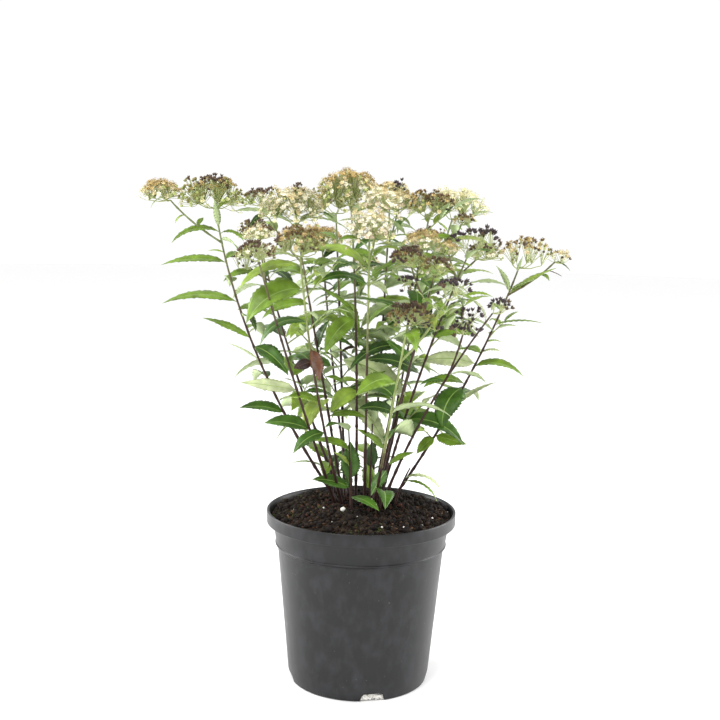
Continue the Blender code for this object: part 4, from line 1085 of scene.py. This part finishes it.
def build_cane(name, plan, rule, fancy, florets, seen_lines):
    """A cane and the mass on it: its bark, green twigs, leaves and flowers."""
    stems = cane_stems(name, plan)
    seen = [leaf for label, stem, _ in stems for leaf in seen_leaves(label, stem)]
    bark, twigs, leaves, flowers = Pile(), Pile(), Pile(), Pile()
    path, phase = stems[0][1], math.radians(plan[2])
    nodes = walk(path, 0.02, 1.0, LEAF_SPACING)
    bark_limb(bark, path, 0.0, BARE_SHARE, CANE_FOOT_RADIUS, STEM_LOW_RADIUS, nodes, CANE_SIDES, fancy,
              "bark")
    for label, stem, head in stems:
        if label == name:
            start, low, size = walk(path, BARE_SHARE, 1.0, GAP)[1], STEM_LOW_RADIUS, 1.0
            grown = stem_leaves(stem, start, phase, size, rule)
            skip_draws(rule)
        else:
            start, low, size = 0.0, TWIG_LOW_RADIUS, TWIG_LEAF_SIZE
            skip_draws(rule)
            grown = stem_leaves(stem, start, phase + math.radians(TWIG_PHASE), size, rule)
        end = short_of_tip(stem, head[3] * RAY_DROP)
        nodes, finish = walk(stem, start, 1.0, LEAF_SPACING), STEM_FINISHES.get(name, "twig")
        bark_limb(twigs, stem, start, end, low, STEM_TIP_RADIUS, nodes, STEM_SIDES, fancy, finish)
        build_head(head, stem(end), florets, flowers, twigs, fancy)
        grown = spaced(grown, seen, seen_lines)
        for number, leaf in enumerate(grown):
            height = leaf_height(leaf[0])
            broad = LEAF_BROAD[0] + (LEAF_BROAD[1] - LEAF_BROAD[0]) * height
            grow_leaf(leaves, *leaf, deal_look(fancy, height), fancy, broad)
            if number % SPRAY_EVERY == 1 and number + 2 < len(grown):
                share = start + (1.0 - start) * (number + 1) / (len(grown) + 1)
                grow_spray(stem, share, leaf[1] + 0.3, leaves, twigs, size ** 0.5, fancy, seen_lines)
        for share, turn, spread in EXTRA_SPRAYS.get(label, ()):
            grow_spray(stem, share, math.radians(turn), leaves, twigs, spread, fancy, seen_lines)
        for share, side_head in SIDE_HEADS.get(label, ()):
            build_head(side_head, stem(share), florets, flowers, twigs, fancy)
    grow_seen(leaves, seen, fancy)
    put(bark.object("bark_" + name), "cane_" + name)
    for kind, pile in (("twigs_", twigs), ("leaves_", leaves), ("flowers_", flowers)):
        put(pile.object(kind + name), "foliage_" + name)


def skip_draws(rule):
    """Pass over the draws that the solids' rule makes for a flower head."""
    for _ in range(HEAD_DRAWS):
        rule.random()


def put(piece, node):
    """Place a finished piece: it rides on the root and stands for its node."""
    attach(piece, "root")
    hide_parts(node)


def build_shoot(name, plan, rule, fancy, seen_lines):
    """A short leafy shoot beside the clump."""
    path = shoot_path(*plan)
    twigs, leaves = Pile(), Pile()
    bark_limb(twigs, path, 0.0, 1.0, SHOOT_RADIUS, SHOOT_TIP_RADIUS, (0.5,), SHOOT_SIDES, fancy)
    seen = seen_leaves("shoot_" + name, path)
    grown = []
    for number in range(SHOOT_LEAVES):
        root = path(SHOOT_TOP_LEAF - SHOOT_LEAVES_REACH * number / SHOOT_LEAVES)
        length = LEAF_LENGTH * SHOOT_LEAF_SIZE * rule.uniform(*SHOOT_LEAF_RANGE)
        angles = [math.radians(rule.uniform(*reach)) for reach in (SHOOT_RISE, SHOOT_BEND, SHOOT_ROLL)]
        grown.append((root, math.radians(plan[1]) + number * SPIRAL, angles[0], length, *angles[1:]))
    for leaf in spaced(grown, seen, seen_lines):
        look = fancy.choices(FRESH_LOOKS, SHOOT_LOOKS)[0]
        grow_leaf(leaves, *leaf, look, fancy, SHOOT_BROAD)
    grow_seen(leaves, seen, fancy)
    put(twigs.object("twigs_shoot_" + name), "shoot_" + name)
    put(leaves.object("leaves_shoot_" + name), "shoot_" + name)


def ring_at(radius, height, sides):
    """The corners of a level ring about the Z axis, or one point of it where it has no radius."""
    turns = math.tau * np.arange(sides if radius else 1) / sides
    return np.stack((radius * np.cos(turns), radius * np.sin(turns), np.full(len(turns), height)), axis=1)


def lathe(pile, rings, slot):
    """Add a closed solid of rings, the first and the last of them single points."""
    corners, sides = np.vstack(rings), len(rings[1])
    last = len(corners) - 1
    pile.add(corners, (cap(sides, 1, 0)[:, ::-1], slot), (ring_quads(sides, len(rings) - 3) + 1, slot),
             (cap(sides, last - sides, last), slot))


def arc(centre_radius, centre_height, radius, start, end, steps):
    """Profile points along a small round, angles in degrees."""
    turns = [math.radians(start + (end - start) * step / steps) for step in range(steps + 1)]
    return [(centre_radius + radius * math.cos(turn), centre_height + radius * math.sin(turn))
            for turn in turns]


def pot_profile():
    """The pot from the middle of its base, up its outer side and down its inner side."""
    lip_low = POT_HEIGHT - LIP_HEIGHT
    base = [(0.0, 0.0018), (0.052, 0.0018), (0.054, 0.0)]
    foot = arc(BASE_RADIUS - 0.002, 0.002, 0.002, -90, 0, 4)
    wide, tall = BODY_TOP_RADIUS - BODY_LOW_RADIUS, BODY_TOP_HEIGHT - 0.001 - BODY_LOW_HEIGHT
    body = [(BODY_LOW_RADIUS + wide * share, BODY_LOW_HEIGHT + tall * share)
            for share in (0.0, 0.33, 0.66, 1.0)]
    step = [(BODY_TOP_RADIUS + 0.0007, BODY_TOP_HEIGHT - 0.0002)]
    step += arc(COLLAR_LOW_RADIUS, COLLAR_LOW_HEIGHT + BEAD, BEAD, -80, 75, 6)
    collar = [(COLLAR_LOW_RADIUS + 0.0001, COLLAR_LOW_HEIGHT + 2.4 * BEAD),
              (COLLAR_TOP_RADIUS, lip_low - 0.0009), (COLLAR_TOP_RADIUS + 0.0005, lip_low - 0.0001)]
    lip = arc(LIP_RADIUS - 0.0010, lip_low + 0.0010, 0.0010, -90, 0, 3)
    lip += arc(LIP_RADIUS - 0.0009, POT_HEIGHT - 0.0009, 0.0009, 0, 180, 8)[:-1]
    lip += arc(LIP_RADIUS - LIP_WALL, POT_HEIGHT - 0.0012, 0.0006, 60, 180, 3)
    inside = [(COLLAR_TOP_RADIUS - WALL, lip_low), (COLLAR_LOW_RADIUS - WALL, COLLAR_LOW_HEIGHT + 0.0006),
              (BODY_TOP_RADIUS - WALL, BODY_TOP_HEIGHT), (BODY_LOW_RADIUS - WALL, BASE_THICKNESS + 0.002),
              (BODY_LOW_RADIUS - WALL - 0.001, BASE_THICKNESS), (0.0, BASE_THICKNESS)]
    return base + foot + body + step + collar + lip + inside


def notch_cutter(slot):
    """The solids that cut the notches: a low trapezium with eased corners, drawn outwards."""
    pile = Pile()
    half, top_half = NOTCH_WIDTH / 2.0, NOTCH_WIDTH / 2.0 - 0.004
    right = [(half, -0.002), (top_half + 0.0008, NOTCH_HEIGHT - 0.0016), (top_half - 0.0010, NOTCH_HEIGHT)]
    section = [(-half, -0.002)] + right + [(-side, rise) for side, rise in right[:0:-1]]
    low, count = np.arange(len(section)), len(section)
    corners = np.array([(reach, side, rise) for reach in (BASE_RADIUS - NOTCH_DEPTH, BASE_RADIUS + 0.010)
                        for side, rise in section])
    for turn in NOTCH_TURNS:
        pile.add(corners @ spun(math.radians(turn)).T, (np.stack((low[::-1], low + count)), slot),
                 (ring_quads(count, 1), slot))
    return pile.object("notches")


def build_pot():
    """The nursery pot: a turned shell with notches in its foot."""
    pile, plastic = Pile(), NUMBER["plastic"]
    lathe(pile, [ring_at(radius, height, POT_SIDES) for radius, height in pot_profile()], plastic)
    pot, cutter = pile.object("nursery_pot"), notch_cutter(plastic)
    cut = pot.modifiers.new("notches", "BOOLEAN")
    cut.operation = "DIFFERENCE"
    cut.object = cutter
    cut.solver = "EXACT"
    graph = bpy.context.evaluated_depsgraph_get()
    pot.data = bpy.data.meshes.new_from_object(pot.evaluated_get(graph))
    pot.modifiers.clear()
    bpy.data.objects.remove(cutter, do_unlink=True)
    pot.data.materials.clear()
    pot.data.materials.append(FINISHES[plastic])
    pot.data.shade_smooth()
    pot.data.set_sharp_from_angle(angle=math.radians(32))
    put(pot, "pot")


def soil_height(x, y):
    """The level of the compost at a place, with its lumps."""
    reach = math.hypot(x, y)
    share = min(1.0, max(0.0, (SOIL_EDGE_RADIUS - reach) / (SOIL_EDGE_RADIUS - SOIL_FLAT_RADIUS)))
    level = SOIL_EDGE_LEVEL + (SOIL_LEVEL - SOIL_EDGE_LEVEL) * math.sin(share * math.pi / 2.0)
    level += 0.0034 * noise.noise(Vector((x, y, 0.3)) * 52.0)
    level += 0.0016 * noise.noise(Vector((x, y, 1.3)) * 170.0)
    return level - 0.0012


def crumb_shape():
    """The corners and triangles of a rounded crumb, one unit across."""
    made = bmesh.new()
    bmesh.ops.create_icosphere(made, subdivisions=1, radius=0.5)
    corners = np.array([corner.co for corner in made.verts])
    faces = np.array([[corner.index for corner in face.verts] for face in made.faces])
    made.free()
    return corners, faces


def crumb_belongs(sort, x, y):
    """True where a sort of crumb is found: moss at the left, brown peat near the stems."""
    if sort == "moss":
        return noise.noise(Vector((x + 0.02, y, 5.0)) * 22.0) - 8.0 * x >= 0.34
    if sort == "peat_brown":
        return noise.noise(Vector((x, y, 9.0)) * 30.0) >= 12.0 * math.hypot(x, y) - 0.55
    return True


def scatter(sort, total, smallest, largest, fancy):
    """Turns, sizes and places of one sort of crumb over the compost."""
    turns, sizes, places = [], [], []
    while len(places) < total:
        reach = (SOIL_EDGE_RADIUS - 0.0008) * math.sqrt(fancy.random())
        turn = fancy.uniform(0.0, math.tau)
        x, y = reach * math.cos(turn), reach * math.sin(turn)
        if not crumb_belongs(sort, x, y):
            continue
        size = smallest + (largest - smallest) * fancy.random() ** 2.2
        if reach + size / 2.0 > SOIL_EDGE_RADIUS + 0.0006:
            continue
        if sort == "chip":
            stretch = [1.0] + [fancy.uniform(*reach) for reach in CHIP_STRETCH]
            tilt = fancy.uniform(-0.45, 0.45)
        else:
            stretch = [fancy.uniform(*reach) for reach in CRUMB_STRETCH]
            tilt = fancy.uniform(-1.5, 1.5)
        turns.append(spun(turn * 7.0, tilt, fancy.uniform(0.0, 6.28)) @ np.diag(stretch))
        sizes.append(size)
        places.append((x, y, soil_height(x, y) + size * CRUMB_RISE))
    return turns, sizes, places


def build_soil(fancy):
    """The root ball: rough peat with crumbs, bark chips, moss and perlite."""
    pile = Pile()
    inset = WALL + 0.0006
    below = [(0.0, BASE_THICKNESS + GAP), (BODY_LOW_RADIUS - inset - 0.002, BASE_THICKNESS + GAP),
             (BODY_LOW_RADIUS - inset, BASE_THICKNESS + 0.004),
             (BODY_TOP_RADIUS - inset, BODY_TOP_HEIGHT + 0.0004),
             (COLLAR_LOW_RADIUS - inset - 0.0006, COLLAR_LOW_HEIGHT + 0.0016),
             (COLLAR_TOP_RADIUS - inset, POT_HEIGHT - LIP_HEIGHT)]
    rings = [ring_at(radius, height, SOIL_SIDES) for radius, height in below]
    for step in range(SOIL_RINGS + 1):
        ring = ring_at(SOIL_EDGE_RADIUS * (1.0 - step / SOIL_RINGS), 0.0, SOIL_SIDES)
        ring[:, 2] = [soil_height(x, y) for x, y, _ in ring]
        rings.append(ring)
    lathe(pile, rings, NUMBER["peat"])
    shape, faces = crumb_shape()
    for sort, total, smallest, largest in CRUMBS:
        turns, sizes, places = scatter(sort, total, smallest, largest, fancy)
        if sort == "perlite":
            for x, y, size in PERLITE:
                turns.append(spun(fancy.uniform(0.0, 6.28), fancy.uniform(-1.0, 1.0)))
                sizes.append(size)
                places.append((x, y, soil_height(x, y) + size * PERLITE_RISE))
        ragged = shape * np.array([fancy.uniform(*RAGGED) for _ in shape])[:, None]
        pile.copies(ragged, faces, NUMBER[sort], np.array(turns), sizes, places)
    put(pile.object("compost"), "soil")
    fill_notch(ragged, faces, fancy)


def fill_notch(crumb, faces, fancy):
    """The perlite that shows in the front notch."""
    plug = Pile()
    turns, sizes, places = [], [], []
    for _ in range(PLUG_CRUMBS):
        size = fancy.uniform(0.0016, 0.0036)
        across = fancy.uniform(-1.0, 1.0) * (NOTCH_WIDTH / 2.0 - size)
        room = max(0.0, NOTCH_HEIGHT * (1.0 - 0.35 * abs(across) / 0.013) - size)
        rise = size * 0.64 + fancy.random() * room
        reach = BASE_RADIUS - fancy.uniform(0.0012, 0.0040) - size / 2.0
        turns.append(spun(fancy.uniform(0.0, 6.28), fancy.uniform(-1.5, 1.5)))
        sizes.append(size)
        places.append(spun(math.radians(NOTCH_TURNS[0])) @ (reach, across, rise))
    plug.copies(crumb, faces, NUMBER["perlite"], np.array(turns), sizes, places)
    put(plug.object("perlite_in_notch"), "soil")


def build_dead(fancy):
    """What is past its best: a dead leaf, a dark curl and dried scraps."""
    pile = Pile()
    for root, turn, rise, length, bend, roll, broad, look in DEAD_LEAVES:
        turn, rise, bend, roll = (math.radians(angle) for angle in (turn, rise, bend, roll))
        grow_leaf(pile, root, turn, rise, length, bend, roll, look, fancy, broad, SEEN_WILD)
    put(pile.object("dead_leaves"), "foliage_left_inner")


def build_stage():
    """The pale floor, the white surroundings and the soft lights."""
    floor = Pile()
    floor.add(ring_at(FLOOR_RADIUS, 0.0, FLOOR_SIDES), (np.arange(FLOOR_SIDES)[None], NUMBER["floor"]))
    floor.object("floor")
    world = bpy.data.worlds.new("studio")
    world.use_nodes = True
    sky = world.node_tree.nodes["Background"]
    fill(world.node_tree, sky, {"Color": (*WHITE, 1.0), "Strength": WORLD_STRENGTH})
    bpy.context.scene.world = world
    for name, (place, size, power) in LIGHTS.items():
        lamp = bpy.data.lights.new(name, "AREA")
        lamp.shape = "SQUARE"
        lamp.size = size
        lamp.energy = power
        light = add_object(name, lamp)
        light.location = place
        light.rotation_euler = (LIGHT_AIM - Vector(place)).to_track_quat("-Z", "Y").to_euler()


def build_camera():
    """The camera where the photo was taken from."""
    lens = bpy.data.cameras.new("camera")
    lens.sensor_width = CAMERA_SENSOR
    lens.lens = CAMERA_LENS
    camera = add_object("camera", lens)
    down = Matrix.Rotation(math.radians(90.0 - CAMERA_DOWN), 4, "X")
    roll = Matrix.Rotation(math.radians(CAMERA_ROLL), 4, "Z")
    camera.matrix_world = Matrix.Translation(CAMERA_PLACE) @ down @ roll
    bpy.context.scene.camera = camera


def main():
    """Build every piece, then the stage."""
    make_finishes()
    rule, fancy = random.Random(SEED), random.Random(FANCY_SEED)
    florets = floret_shapes(fancy)
    seen_lines = np.concatenate([line_in_view(plan) for plan in every_seen() + dead_plans()])
    for name, plan in CANES.items():
        build_cane(name, plan, rule, fancy, florets, seen_lines)
    for name, plan in SHOOTS.items():
        build_shoot(name, plan, rule, fancy, seen_lines)
    build_dead(fancy)
    build_pot()
    build_soil(fancy)
    build_stage()
    build_camera()
    bpy.context.scene.view_settings.view_transform = "Standard"


main()
